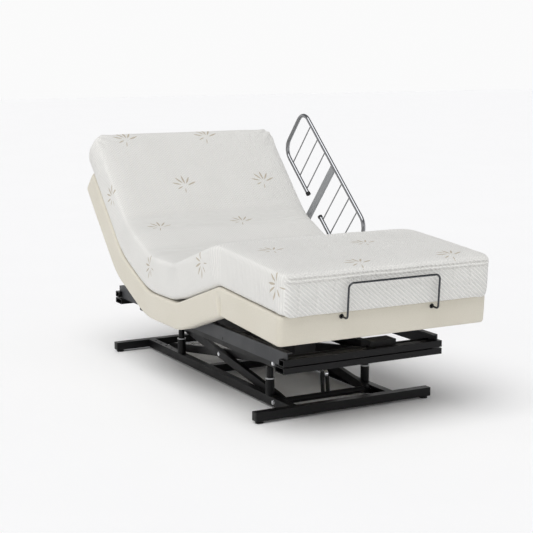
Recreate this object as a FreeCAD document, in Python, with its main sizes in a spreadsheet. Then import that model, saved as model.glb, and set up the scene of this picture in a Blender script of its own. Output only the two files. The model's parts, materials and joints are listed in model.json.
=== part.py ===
import FreeCAD, Part
import math
import os

import Sketcher

# Adjustable bed: a floor base with a scissor lift, a carriage, and an articulated deck of
# back, lumbar, seat, thigh and calf sections, each with its upholstery and its length of mattress.
# X runs across the bed, +Y runs from the foot to the head, +Z is up and the floor is Z = 0.

SIZES = (
    # The row's origin is the middle of the bed's footprint.
    ("row_x", -17.0),
    ("row_y", -12.5),
    # Floor bars and base rails.
    ("bar_length", 828.0),
    ("bar_size", 36.0),
    ("bar_wall", 3.0),
    ("foot_bar_y", -629.0),
    ("head_bar_y", 770.0),
    ("cap_thick", 3.0),
    ("glide_radius", 16.5),
    ("glide_tall", 10.0),
    ("glide_inset", 24.0),
    ("rail_outer", 245.0),
    ("rail_wide", 32.0),
    ("rail_hole_pitch", 60.0),
    ("rail_hole_first", 42.0),
    ("post_foot_y", -408.0),
    ("post_head_y", 434.0),
    ("post_x", 230.0),
    ("post_radius", 18.5),
    ("post_neck_radius", 14.0),
    ("post_step_z", 113.0),
    ("post_ring_tall", 5.0),
    ("post_top_z", 162.0),
    # Scissor lift.
    ("pivot_y", -465.0),
    ("low_pivot_z", 28.0),
    ("high_pivot_z", 190.0),
    ("arm_reach", 1127.3),
    ("arm_deep", 40.0),
    ("arm_thick", 20.0),
    ("arm_taper", 40.0),
    ("arm_ease", 4.0),
    ("outer_arm_x", 190.0),
    ("inner_arm_x", 166.0),
    ("bolt_radius", 6.0),
    ("bolt_head_radius", 10.0),
    ("bolt_head_tall", 6.0),
    ("bolt_play", 0.05),
    ("crossing_play", 2.0),
    ("crossing_head_tall", 3.0),
    ("crossing_nut_tall", 8.0),
    ("crossing_nut_gap", 1.0),
    ("scissor_roller_radius", 12.0),
    ("scissor_roller_wide", 20.0),
    ("scissor_roller_x", 219.0),
    ("axle_half", 241.5),
    ("cross_tube_radius", 14.0),
    ("lever_reach", 90.0),
    ("lever_lean", 4.7),
    ("lever_thick", 6.0),
    ("lever_half", 11.0),
    ("lever_nose", 8.0),
    ("lever_gap", 9.0),
    # Lift actuator, level, from the base to the lever.
    ("stand_y", 148.0),
    ("actuator_radius", 18.0),
    ("actuator_length", 400.0),
    ("actuator_motor_radius", 27.0),
    ("actuator_motor_length", 120.0),
    ("actuator_motor_sink", 4.0),
    ("actuator_end", 30.0),
    ("rod_radius", 10.0),
    ("rod_eye_play", 1.0),
    ("rod_pin_radius", 5.0),
    ("rod_eye_radius", 16.0),
    ("rod_in_tube", 60.0),
    ("rod_from_eye", 14.0),
    # Carriage.
    ("lift_rail_z", 172.0),
    ("lift_rail_tall", 50.0),
    ("lift_rail_foot_y", -520.0),
    ("lift_rail_head_y", 880.0),
    ("channel_half", 367.0),
    ("channel_foot_y", -762.0),
    ("channel_head_y", 888.0),
    ("channel_deep", 68.0),
    ("channel_low_z", 222.0),
    ("channel_low_tall", 24.0),
    ("channel_high_deep", 39.0),
    ("channel_high_z", 251.0),
    ("channel_high_tall", 26.0),
    ("channel_wall", 3.0),
    ("plate_x", 345.0),
    ("plate_thick", 5.0),
    ("plate_top_z", 303.0),
    ("plate_setback", 7.0),
    ("flange_wide", 20.0),
    ("flange_thick", 4.0),
    ("tie_rod_y", -690.0),
    ("tie_rod_z", 269.0),
    ("tie_rod_radius", 8.0),
    ("box_x", 50.0),
    ("box_wide", 120.0),
    ("box_deep", 70.0),
    ("box_tall", 34.0),
    ("box_z", 264.0),
    ("inlet_radius", 9.0),
    ("inlet_deep", 12.0),
    ("rod_way_play", 0.5),
    # Section hinges, at rest.
    ("hinge_z", 299.5),
    ("thigh_hinge_y", -34.0),
    ("lumbar_hinge_y", 292.0),
    ("thigh_length", 413.0),
    ("lumbar_length", 350.0),
    ("calf_length", 481.0),
    ("back_length", 505.0),
    ("thigh_angle", 18.7),
    ("calf_angle", 3.8),
    ("lumbar_angle", 23.0),
    ("back_angle", 46.0),
    # Section rails, from the hinge line.
    ("tube", 25.0),
    ("tube_x", 287.5),
    ("track_x", 117.5),
    ("tube_past", 12.0),
    ("tube_before", 22.0),
    ("tube_short", 15.0),
    ("track_start", 30.0),
    ("back_track_end", 252.5),
    ("thigh_track_end", 170.0),
    ("ear_gap", 0.5),
    ("ear_thick", 6.0),
    ("ear_back", 14.0),
    ("ear_long", 60.0),
    ("shim_start", 26.0),
    ("shim_end", 58.0),
    ("stub_past", 3.0),
    ("pin_radius", 6.0),
    ("pin_play", 0.05),
    # Upholstery and mattress, measured up from the hinge line.
    ("deck_half", 470.0),
    ("band_wide", 66.0),
    ("knee_notch", 20.0),
    ("band_low", -33.5),
    ("pad_low", 12.6),
    ("pad_high", 82.5),
    ("mattress_low", 83.0),
    ("mattress_high", 253.0),
    ("mattress_half", 482.5),
    ("mattress_foot", 516.0),
    ("mattress_head", 612.0),
    ("band_gap", 0.1),
    ("block_gap", 0.5),
    ("edge_round", 18.0),
    ("back_fold", 32.6),
    ("thigh_fold", 35.2),
    ("calf_fold", 42.6),
    # Section lifts.
    ("back_tube_y", 200.0),
    ("back_tube_z", 262.0),
    ("back_arm_reach", 520.0),
    ("back_arm_angle", 22.3),
    ("back_arm_drop", 62.0),
    ("back_arm_hollow", 10.0),
    ("leg_tube_y", -220.0),
    ("leg_tube_z", 256.0),
    ("leg_arm_reach", 150.0),
    ("leg_arm_angle", 45.7),
    ("lift_tube_radius", 17.0),
    ("lift_tube_half", 344.5),
    ("lift_arm_x", 148.0),
    ("lift_arm_thick", 8.0),
    ("lift_arm_wide", 32.0),
    ("lift_roller_radius", 19.2),
    ("lift_roller_x", 115.0),
    ("lift_roller_wide", 30.0),
    ("lift_arm_tip", 12.0),
    ("lift_arm_nose", 6.0),
    ("lift_stub_past", 2.0),
    ("lift_lever_reach", 46.0),
    ("lift_lever_thick", 10.0),
    ("lift_lever_wide", 20.0),
    ("lift_pin_radius", 6.0),
    ("housing_half", 50.0),
    ("housing_foot_y", -300.0),
    ("housing_head_y", 470.0),
    ("housing_z", 160.0),
    ("housing_top_z", 236.0),
    ("housing_wall", 6.0),
    ("leg_trough_half", 66.0),
    ("back_trough_half", 52.0),
    ("hanger_wide", 10.0),
    ("hanger_half", 14.0),
    ("hanger_gap", 0.3),
    ("gear_radius", 34.0),
    ("gear_tall", 10.0),
    ("gear_low", 6.0),
    ("gear_y", 50.0),
    ("slider_half", 18.0),
    ("slider_deep", 34.0),
    ("slider_low_z", 180.0),
    ("slider_tall", 52.0),
    ("slider_slot", 14.6),
    ("slider_floor", 8.0),
    # Mattress retainer.
    ("retainer_half", 205.0),
    ("retainer_radius", 4.0),
    ("retainer_low", 60.0),
    ("retainer_top", 195.0),
    ("retainer_out", 523.0),
    ("retainer_in", 425.0),
    ("retainer_bend", 20.0),
    ("retainer_foot_bend", 12.0),
    ("socket_play", 0.35),
    # Assist rail, in its own frame: along the rail, and up from the line of the back's hinges.
    ("assist_x", 505.0),
    ("assist_y", 645.5),
    ("assist_z", 494.4),
    ("assist_angle", 41.4),
    ("assist_half", 383.0),
    ("assist_low", 257.0),
    ("assist_high", 525.0),
    ("assist_radius", 9.5),
    ("assist_corner", 65.0),
    ("assist_gap", 82.0),
    ("sleeve_radius", 11.5),
    ("sleeve_length", 10.0),
    ("spindle_radius", 3.0),
    ("spindle_first", 102.0),
    ("spindle_pitch", 89.0),
    ("post_wide", 36.0),
    ("post_thick", 10.0),
    ("post_low", -60.0),
    ("socket_wall", 5.0),
    ("socket_low", 62.0),
    ("socket_high", 36.0),
    ("riser_x", 352.5),
    ("bracket_thick", 8.0),
    ("shelf_low", 5.0),
    ("shelf_high", 12.0),
)

doc = FreeCAD.newDocument("adjustable_bed")
sheet = doc.addObject("Spreadsheet::Sheet", "sizes")
for row, (alias, value) in enumerate(SIZES, start=1):
    sheet.set(f"A{row}", alias)
    sheet.set(f"B{row}", str(value))
    sheet.setAlias(f"B{row}", alias)
doc.recompute()

ROW_X = "sizes.row_x"
ROW_Y = "sizes.row_y"
NODES = []


def size(expression):
    """The number that an expression of the sheet's cells comes to."""
    return float(doc.getObject("ruler").evalExpression(expression))


ruler = doc.addObject("App::FeaturePython", "ruler")


def bind(item, **cells):
    """Bind properties to expressions; a double underscore stands for a dot."""
    for name, expression in cells.items():
        item.setExpression(name.replace("__", "."), expression)


def s(name):
    """A cell's name as an expression writes it."""
    return f"sizes.{name}"


# Frames: where a sub-part's own origin lies at rest, and its turn about X.
THIGH_HINGE = (s("thigh_hinge_y"), s("hinge_z"))
LUMBAR_HINGE = (s("lumbar_hinge_y"), s("hinge_z"))
CALF_HINGE = (
    "sizes.thigh_hinge_y - sizes.thigh_length * cos(sizes.thigh_angle * 1 deg)",
    "sizes.hinge_z + sizes.thigh_length * sin(sizes.thigh_angle * 1 deg)",
)
BACK_HINGE = (
    "sizes.lumbar_hinge_y + sizes.lumbar_length * cos(sizes.lumbar_angle * 1 deg)",
    "sizes.hinge_z + sizes.lumbar_length * sin(sizes.lumbar_angle * 1 deg)",
)
BED = ("0", "0", "0")
SEAT = (s("thigh_hinge_y"), s("hinge_z"), "0")
THIGH = (*THIGH_HINGE, "-sizes.thigh_angle")
CALF = (*CALF_HINGE, s("calf_angle"))
LUMBAR = (*LUMBAR_HINGE, s("lumbar_angle"))
BACK = (*BACK_HINGE, s("back_angle"))
ASSIST = (s("assist_y"), s("assist_z"), s("assist_angle"))
LOW_PIVOT = (s("pivot_y"), s("low_pivot_z"))
HIGH_PIVOT = (s("pivot_y"), s("high_pivot_z"))
ARM_RISE = "asin((sizes.high_pivot_z - sizes.low_pivot_z) / sizes.arm_reach) / 1 deg"
OUTER_ARM = (*LOW_PIVOT, ARM_RISE)
INNER_ARM = (*HIGH_PIVOT, f"-({ARM_RISE})")
BACK_LIFT = (s("back_tube_y"), s("back_tube_z"), s("back_arm_angle"))
LEG_LIFT = (s("leg_tube_y"), s("leg_tube_z"), "-sizes.leg_arm_angle")


def place(item, frame):
    """Turn a sub-part about X and move it to its frame's origin."""
    along, up, turn = frame
    item.Placement = FreeCAD.Placement(
        FreeCAD.Vector(0, 0, 0), FreeCAD.Rotation(FreeCAD.Vector(1, 0, 0), 1)
    )
    bind(
        item,
        Placement__Base__x=ROW_X,
        Placement__Base__y=f"{ROW_Y} + ({along})",
        Placement__Base__z=up,
        Placement__Rotation__Angle=f"({turn}) * 1 deg",
    )
    if abs(size(turn)) < 1e-9:
        item.setExpression("Placement.Rotation.Angle", None)
        item.Placement = FreeCAD.Placement()


def finish(item, label, frame):
    """Name a sub-part and put it in its frame; a lone block or bar keeps its own place there."""
    if item.TypeId in ("Part::Box", "Part::Cylinder"):
        item = group(item)
    item.Label = label
    place(item, frame)
    NODES.append(item)
    return item


def box(low, high):
    """A block between two corners, each given as three expressions."""
    item = doc.addObject("Part::Box", "block")
    bind(
        item,
        Placement__Base__x=low[0],
        Placement__Base__y=low[1],
        Placement__Base__z=low[2],
        Length=f"({high[0]}) - ({low[0]})",
        Width=f"({high[1]}) - ({low[1]})",
        Height=f"({high[2]}) - ({low[2]})",
    )
    return item


AXES = {"x": FreeCAD.Vector(0, 1, 0), "y": FreeCAD.Vector(-1, 0, 0), "z": FreeCAD.Vector(0, 0, 1)}


def rod(axis, start, length, radius):
    """A round bar along an axis from a start point."""
    item = doc.addObject("Part::Cylinder", "round_bar")
    turn = 0 if axis == "z" else 90
    item.Placement = FreeCAD.Placement(FreeCAD.Vector(), FreeCAD.Rotation(AXES[axis], turn))
    bind(
        item,
        Placement__Base__x=start[0],
        Placement__Base__y=start[1],
        Placement__Base__z=start[2],
        Height=length,
        Radius=radius,
    )
    return item


def fuse(*pieces):
    item = doc.addObject("Part::MultiFuse", "joined")
    item.Shapes = list(pieces)
    return item


def cut(base, *tools):
    item = doc.addObject("Part::Cut", "cut")
    item.Base = base
    item.Tool = tools[0] if len(tools) == 1 else fuse(*tools)
    return item


def group(*pieces):
    """Separate solids kept together as one sub-part."""
    item = doc.addObject("Part::Compound", "pieces")
    item.Links = list(pieces)
    return item


def new_body():
    return doc.addObject("PartDesign::Body", "body")


def new_sketch(body, plane, offset="0"):
    """A sketch on one of the body's own origin planes, moved along that plane's normal."""
    sketch = body.newObject("Sketcher::SketchObject", "sketch")
    planes = [item for item in body.Origin.OriginFeatures if item.Role == plane]
    sketch.AttachmentSupport = (planes[0], [""])
    sketch.MapMode = "FlatFace"
    bind(sketch, AttachmentOffset__Base__z=offset)
    return sketch


def fix(sketch, geometry, point, spot):
    """Hold a sketch point at a spot given as two expressions."""
    for kind, expression in zip(("DistanceX", "DistanceY"), spot):
        rule = Sketcher.Constraint(kind, -1, 1, geometry, point, size(expression))
        sketch.setExpression(f"Constraints[{sketch.addConstraint(rule)}]", expression)


def outline(sketch, spots):
    """A closed outline of straight sides through the spots."""
    first = sketch.GeometryCount
    values = [FreeCAD.Vector(size(a), size(b), 0) for a, b in spots]
    for start, end in zip(values, values[1:] + values[:1]):
        sketch.addGeometry(Part.LineSegment(start, end), False)
    for step in range(len(spots)):
        following = (step + 1) % len(spots)
        sketch.addConstraint(Sketcher.Constraint("Coincident", first + step, 2, first + following, 1))
    for step, spot in enumerate(spots):
        fix(sketch, first + step, 1, spot)


def rectangle(sketch, low, high):
    outline(sketch, [low, (high[0], low[1]), high, (low[0], high[1])])


def circle(sketch, centre, radius):
    spot = FreeCAD.Vector(size(centre[0]), size(centre[1]), 0)
    ring = Part.Circle(spot, FreeCAD.Vector(0, 0, 1), size(radius))
    geometry = sketch.addGeometry(ring, False)
    fix(sketch, geometry, 3, centre)
    rule = sketch.addConstraint(Sketcher.Constraint("Radius", geometry, size(radius)))
    sketch.setExpression(f"Constraints[{rule}]", radius)


def pad(body, sketch, length):
    feature = body.newObject("PartDesign::Pad", "pad")
    feature.Profile = sketch
    bind(feature, Length=length)
    return feature


def pocket(body, sketch, length, reverse=False):
    feature = body.newObject("PartDesign::Pocket", "pocket")
    feature.Profile = sketch
    feature.Reversed = reverse
    bind(feature, Length=length)
    return feature


def side_box(sign, near, far, low, high):
    """A block between two distances from the middle, on one side of the bed."""
    inner, outer = (near, far) if sign > 0 else (f"-({far})", f"-({near})")
    return box((inner, low[0], low[1]), (outer, high[0], high[1]))


def side_rod(sign, near, far, spot, radius):
    """A round bar along X between two distances from the middle, on one side of the bed."""
    start = near if sign > 0 else f"-({far})"
    return rod("x", (start, spot[0], spot[1]), f"({far}) - ({near})", radius)


# Floor base ---------------------------------------------------------------------------------

BAR_LOW = s("glide_tall")
BAR_HIGH = "sizes.glide_tall + sizes.bar_size"


def floor_bar(label, front):
    """A square tube that lies across the floor."""
    body = new_body()
    profile = new_sketch(body, "YZ_Plane", "-sizes.bar_length / 2 + sizes.cap_thick")
    rectangle(profile, (front, BAR_LOW), (f"{front} + sizes.bar_size", BAR_HIGH))
    rectangle(
        profile,
        (f"{front} + sizes.bar_wall", f"{BAR_LOW} + sizes.bar_wall"),
        (f"{front} + sizes.bar_size - sizes.bar_wall", f"{BAR_HIGH} - sizes.bar_wall"),
    )
    pad(body, profile, "sizes.bar_length - 2 * sizes.cap_thick")
    finish(body, label, BED)


def channel_rail(body, low, high, opening, foot, head):
    """A channel along Y, open towards the middle of the bed on its right side."""
    inner = "sizes.rail_outer - sizes.rail_wide"
    profile = new_sketch(body, "XZ_Plane", f"-({head})")
    wall = s("bar_wall")
    outline(
        profile,
        [
            (inner, low),
            (s("rail_outer"), low),
            (s("rail_outer"), high),
            (inner, high),
            (inner, f"{opening} + sizes.bar_size - 2 * {wall}"),
            (f"sizes.rail_outer - {wall}", f"{opening} + sizes.bar_size - 2 * {wall}"),
            (f"sizes.rail_outer - {wall}", opening),
            (inner, opening),
        ],
    )
    pad(body, profile, f"({head}) - ({foot})")


def web_bolt_hole(body, height):
    """The pivot bolt's hole through a rail's web."""
    hole = new_sketch(body, "YZ_Plane", "sizes.rail_outer + 1")
    circle(hole, (s("pivot_y"), height), "sizes.bolt_radius + sizes.bolt_play")
    pocket(body, hole, "sizes.bar_wall + 2")


def base_rails():
    body = new_body()
    foot = "sizes.foot_bar_y + sizes.bar_size"
    channel_rail(body, BAR_LOW, BAR_HIGH, f"{BAR_LOW} + sizes.bar_wall", foot, s("head_bar_y"))
    web_bolt_hole(body, s("low_pivot_z"))
    marks = new_sketch(body, "XY_Plane", f"{BAR_HIGH} + 1")
    for step in range(4):
        along = f"sizes.head_bar_y - sizes.rail_hole_first - sizes.rail_hole_pitch * {step}"
        spot = (s("post_x"), along)
        circle(marks, spot, s("bolt_radius"))
    pocket(body, marks, "sizes.bar_wall + 2")
    finish(body, "base_rail_right", BED)
    left_twin(body, "base_rail_left")


def left_twin(body, label):
    """The left-hand twin of a right-hand piece, mirrored in the bed's middle plane."""
    item = doc.addObject("Part::Mirroring", "twin")
    item.Source = body
    item.Normal = FreeCAD.Vector(1, 0, 0)
    bind(item, Base__x=ROW_X)
    item.Label = label
    NODES.append(item)


def floor_pieces():
    floor_bar("floor_bar_foot", s("foot_bar_y"))
    floor_bar("floor_bar_head", s("head_bar_y"))
    caps = []
    glides = []
    for front in (s("foot_bar_y"), s("head_bar_y")):
        for sign in (1, -1):
            low = (front, BAR_LOW)
            high = (f"{front} + sizes.bar_size", BAR_HIGH)
            near = "sizes.bar_length / 2 - sizes.cap_thick"
            caps.append(side_box(sign, near, "sizes.bar_length / 2", low, high))
            spot = (
                f"{sign} * (sizes.bar_length / 2 - sizes.glide_inset)",
                f"{front} + sizes.bar_size / 2",
                "0",
            )
            glides.append(rod("z", spot, s("glide_tall"), s("glide_radius")))
    finish(group(*caps), "bar_end_caps", BED)
    finish(group(*glides), "floor_glides", BED)


def rest_posts():
    """Stepped posts that the lift rails come down on, each with a pale ring at its step."""
    posts = []
    rings = []
    for along in (s("post_foot_y"), s("post_head_y")):
        for sign in (1, -1):
            across = f"{sign} * sizes.post_x"
            foot = rod(
                "z", (across, along, BAR_HIGH), f"sizes.post_step_z - ({BAR_HIGH})", s("post_radius")
            )
            neck_low = "sizes.post_step_z"
            neck = rod(
                "z",
                (across, along, neck_low),
                "sizes.post_top_z - sizes.post_step_z",
                s("post_neck_radius"),
            )
            posts.append(fuse(foot, neck))
            band = rod("z", (across, along, neck_low), s("post_ring_tall"), "sizes.post_radius + 1")
            bore = rod(
                "z",
                (across, along, f"{neck_low} - 1"),
                "sizes.post_ring_tall + 2",
                "sizes.post_neck_radius + sizes.bolt_play",
            )
            rings.append(cut(band, bore))
    finish(group(*posts), "rest_posts", BED)
    finish(group(*rings), "post_rings", BED)


def pivot_bolts(label, height, reach):
    """A bolt each side through a rail's web and an arm."""
    bolts = []
    for sign in (1, -1):
        spot = (s("pivot_y"), height)
        shank = side_rod(sign, reach, s("rail_outer"), spot, s("bolt_radius"))
        outside = "sizes.rail_outer + sizes.bolt_head_tall"
        head = side_rod(sign, s("rail_outer"), outside, spot, s("bolt_head_radius"))
        bolts.append(fuse(shank, head))
    finish(group(*bolts), label, BED)


LEVER_TIP_Y = "sizes.pivot_y + sizes.lever_reach * sin(sizes.lever_lean * 1 deg)"
LEVER_TIP_Z = "sizes.low_pivot_z + sizes.lever_reach * cos(sizes.lever_lean * 1 deg)"


def actuator():
    """A level linear actuator held on a stand that crosses the base."""
    inner = "sizes.rail_outer - sizes.rail_wide"
    beam = box((f"-({inner})", s("stand_y"), BAR_LOW), (inner, "sizes.stand_y + sizes.bar_size", BAR_HIGH))
    post_high = f"{LEVER_TIP_Z} - sizes.actuator_radius"
    post = box(
        ("-sizes.lever_gap", s("stand_y"), BAR_HIGH),
        (s("lever_gap"), "sizes.stand_y + sizes.bar_size", post_high),
    )
    finish(fuse(beam, post), "actuator_stand", BED)
    head = "sizes.stand_y + sizes.bar_size"
    start = f"{head} - sizes.actuator_length"
    tube = rod("y", ("0", start, LEVER_TIP_Z), s("actuator_length"), s("actuator_radius"))
    bore = rod(
        "y",
        ("0", f"{start} - 1", LEVER_TIP_Z),
        "sizes.actuator_length - sizes.actuator_end + 1",
        "sizes.rod_radius + sizes.socket_play",
    )
    across = "sizes.actuator_radius + sizes.actuator_motor_radius - sizes.actuator_motor_sink"
    motor_start = f"{head} - sizes.actuator_motor_length"
    motor = rod(
        "y", (across, motor_start, LEVER_TIP_Z), s("actuator_motor_length"), s("actuator_motor_radius")
    )
    finish(fuse(cut(tube, bore), motor), "actuator_body", BED)
    eye_half = "sizes.lever_gap - 1"
    shaft_start = f"{LEVER_TIP_Y} + sizes.rod_from_eye"
    shaft_length = f"{start} + sizes.rod_in_tube - ({shaft_start})"
    shaft = rod("y", ("0", shaft_start, LEVER_TIP_Z), shaft_length, s("rod_radius"))
    tip = (LEVER_TIP_Y, LEVER_TIP_Z)
    eye = side_rod(1, f"-({eye_half})", eye_half, tip, s("rod_eye_radius"))
    hole_half = s("lever_gap")
    hole = side_rod(1, f"-{hole_half}", hole_half, tip, "sizes.rod_pin_radius + sizes.rod_eye_play")
    finish(cut(fuse(shaft, eye), hole), "lift_rod", BED)


def base():
    floor_pieces()
    base_rails()
    rest_posts()
    pivot_bolts("base_pivot_bolts", s("low_pivot_z"), s("outer_arm_x"))
    actuator()


# Scissor arms -------------------------------------------------------------------------------


def scissor_arm(label, near, sign, crossing_hole):
    """A deep bar from its pivot to the axle at its far end, with three holes."""
    body = new_body()
    start = near if sign > 0 else f"-({near} + sizes.arm_thick)"
    side = new_sketch(body, "YZ_Plane", start)
    half = "sizes.arm_deep / 2"
    eased = "(sizes.arm_deep / 2 - sizes.arm_ease)"
    end = f"sizes.arm_reach + {eased}"
    nose = "sizes.arm_deep / 4"
    outline(
        side,
        [
            (f"-{eased}", f"-{nose}"),
            (f"-{nose}", f"-{eased}"),
            (s("arm_reach"), f"-{eased}"),
            (end, f"-{nose}"),
            (end, nose),
            (s("arm_reach"), eased),
            ("sizes.arm_reach - sizes.arm_taper", half),
            (s("arm_taper"), half),
            (f"-{nose}", eased),
            (f"-{eased}", nose),
        ],
    )
    circle(side, ("0", "0"), "sizes.bolt_radius + sizes.bolt_play")
    circle(side, ("sizes.arm_reach / 2", "0"), crossing_hole)
    circle(side, (s("arm_reach"), "0"), "sizes.bolt_radius + sizes.bolt_play")
    pad(body, side, s("arm_thick"))
    finish(body, label, OUTER_ARM if "outer" in label else INNER_ARM)


def scissor():
    for sign, side in ((1, "right"), (-1, "left")):
        snug = "sizes.bolt_radius + sizes.bolt_play"
        loose = "sizes.bolt_radius + sizes.crossing_play"
        scissor_arm(f"outer_arm_{side}", s("outer_arm_x"), sign, snug)
        scissor_arm(f"inner_arm_{side}", s("inner_arm_x"), sign, loose)
    middle = ("sizes.arm_reach / 2", "0")
    bolts = []
    for sign in (1, -1):
        outer_face = "sizes.outer_arm_x + sizes.arm_thick"
        head_face = f"{outer_face} + sizes.crossing_head_tall"
        nut_near = "sizes.inner_arm_x - sizes.crossing_nut_gap - sizes.crossing_nut_tall"
        nut_far = "sizes.inner_arm_x - sizes.crossing_nut_gap"
        shank = side_rod(sign, nut_near, outer_face, middle, s("bolt_radius"))
        head = side_rod(sign, outer_face, head_face, middle, s("bolt_head_radius"))
        nut = side_rod(sign, nut_near, nut_far, middle, s("bolt_head_radius"))
        bolts.append(fuse(shank, head, nut))
    finish(group(*bolts), "crossing_bolts", OUTER_ARM)
    tube = side_rod(1, "-sizes.outer_arm_x", s("outer_arm_x"), ("0", "0"), s("cross_tube_radius"))
    levers = []
    lean = f"(90 - sizes.lever_lean - ({ARM_RISE})) * 1 deg"
    tip = (f"sizes.lever_reach * cos({lean})", f"sizes.lever_reach * sin({lean})")
    for sign in (1, -1):
        body = new_body()
        start = s("lever_gap") if sign > 0 else "-(sizes.lever_gap + sizes.lever_thick)"
        plate = new_sketch(body, "YZ_Plane", start)
        outline(
            plate,
            [
                ("-sizes.lever_half", s("lever_nose")),
                (s("lever_half"), "sizes.lever_nose / 2"),
                (f"{tip[0]} + sizes.lever_half", f"{tip[1]} - sizes.lever_nose / 2"),
                (f"{tip[0]} + sizes.lever_nose", f"{tip[1]} + sizes.lever_nose"),
                (f"{tip[0]} - sizes.lever_nose", f"{tip[1]} + sizes.lever_nose"),
                (f"{tip[0]} - sizes.lever_half", f"{tip[1]} - sizes.lever_nose / 2"),
            ],
        )
        pad(body, plate, s("lever_thick"))
        levers.append(body)
    half = "sizes.lever_gap + sizes.lever_thick"
    pin = side_rod(1, f"-({half})", half, tip, s("rod_pin_radius"))
    finish(fuse(tube, *levers, pin), "lift_lever", OUTER_ARM)
    axle_parts = (("upper", OUTER_ARM), ("lower", INNER_ARM))
    for name, frame in axle_parts:
        axle = side_rod(1, "-sizes.axle_half", s("axle_half"), (s("arm_reach"), "0"), s("bolt_radius"))
        finish(axle, f"{name}_axle", frame)
        wheels = []
        for sign in (1, -1):
            near = s("scissor_roller_x")
            far = f"{near} + sizes.scissor_roller_wide"
            spot = (s("arm_reach"), "0")
            wheel = side_rod(sign, near, far, spot, s("scissor_roller_radius"))
            bore_radius = "sizes.bolt_radius + sizes.bolt_play"
            bore = side_rod(sign, f"{near} - 1", f"{far} + 1", spot, bore_radius)
            wheels.append(cut(wheel, bore))
        finish(group(*wheels), f"{name}_rollers", frame)


# Carriage -----------------------------------------------------------------------------------


def lift_rails():
    body = new_body()
    low = s("lift_rail_z")
    high = "sizes.lift_rail_z + sizes.lift_rail_tall"
    channel_rail(
        body, low, high, f"{low} + sizes.bar_wall", s("lift_rail_foot_y"), s("lift_rail_head_y")
    )
    web_bolt_hole(body, s("high_pivot_z"))
    finish(body, "lift_rail_right", BED)
    left_twin(body, "lift_rail_left")


def cross_channel(front, deep, low, tall):
    """A hollow channel across the carriage, from its front face backwards."""
    wall = s("channel_wall")
    half = s("channel_half")
    shell = box((f"-{half}", front, low), (half, f"{front} + {deep}", f"{low} + {tall}"))
    hollow = box(
        (f"-{half} - 1", f"{front} + {wall}", f"{low} + {wall}"),
        (f"{half} + 1", f"{front} + {deep} - {wall}", f"{low} + {tall} - {wall}"),
    )
    return cut(shell, hollow)


def channels():
    """Two layers of cross channel at each end of the carriage, the upper one shallower."""
    layers = (
        ("lower_channels", "low", s("channel_deep")),
        ("upper_channels", "high", s("channel_high_deep")),
    )
    for label, level, deep in layers:
        low = f"sizes.channel_{level}_z"
        tall = f"sizes.channel_{level}_tall"
        fronts = (s("channel_foot_y"), f"sizes.channel_head_y - {deep}")
        finish(group(*(cross_channel(front, deep, low, tall) for front in fronts)), label, BED)


def side_plates():
    """Tall flanged plates on the channels, notched at each end over the upper channels."""
    low = "sizes.channel_low_z + sizes.channel_low_tall"
    notch = "sizes.channel_high_z + sizes.channel_high_tall"
    foot = "sizes.channel_foot_y + sizes.plate_setback"
    head = "sizes.channel_head_y - sizes.plate_setback"
    notch_foot = "sizes.channel_foot_y + sizes.channel_high_deep"
    notch_head = "sizes.channel_head_y - sizes.channel_high_deep"
    body = new_body()
    web = new_sketch(body, "YZ_Plane", s("plate_x"))
    outline(
        web,
        [
            (notch_foot, low),
            (notch_head, low),
            (notch_head, notch),
            (head, notch),
            (head, s("plate_top_z")),
            (foot, s("plate_top_z")),
            (foot, notch),
            (notch_foot, notch),
        ],
    )
    for along, up in (("back_tube_y", "back_tube_z"), ("leg_tube_y", "leg_tube_z")):
        circle(web, (s(along), s(up)), "sizes.pin_radius + sizes.pin_play")
    pad(body, web, s("plate_thick"))
    top = new_sketch(body, "YZ_Plane", "sizes.plate_x - sizes.flange_wide")
    rectangle(top, (foot, "sizes.plate_top_z - sizes.flange_thick"), (head, s("plate_top_z")))
    pad(body, top, "sizes.flange_wide")
    finish(body, "side_plate_right", BED)
    left_twin(body, "side_plate_left")


def tie_rod():
    spot = (s("tie_rod_y"), s("tie_rod_z"))
    bar = side_rod(1, "-sizes.plate_x", s("plate_x"), spot, s("tie_rod_radius"))
    finish(bar, "tie_rod", BED)


def control_box():
    """The supply unit behind the foot channels, with the round inlet for its lead."""
    back = "sizes.channel_foot_y + sizes.channel_high_deep"
    low = (s("box_x"), back, s("box_z"))
    high = ("sizes.box_x + sizes.box_wide", f"{back} + sizes.box_deep", "sizes.box_z + sizes.box_tall")
    block = box(low, high)
    rod_way = rod(
        "x",
        ("sizes.box_x - 1", s("tie_rod_y"), s("tie_rod_z")),
        "sizes.box_wide + 2",
        "sizes.tie_rod_radius + sizes.rod_way_play",
    )
    well = rod(
        "y",
        (
            "sizes.box_x + sizes.box_wide / 2",
            f"{back} + sizes.box_deep - sizes.inlet_deep",
            "sizes.box_z + sizes.box_tall / 2",
        ),
        "sizes.inlet_deep + 1",
        s("inlet_radius"),
    )
    finish(cut(block, rod_way, well), "control_box", BED)


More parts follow.
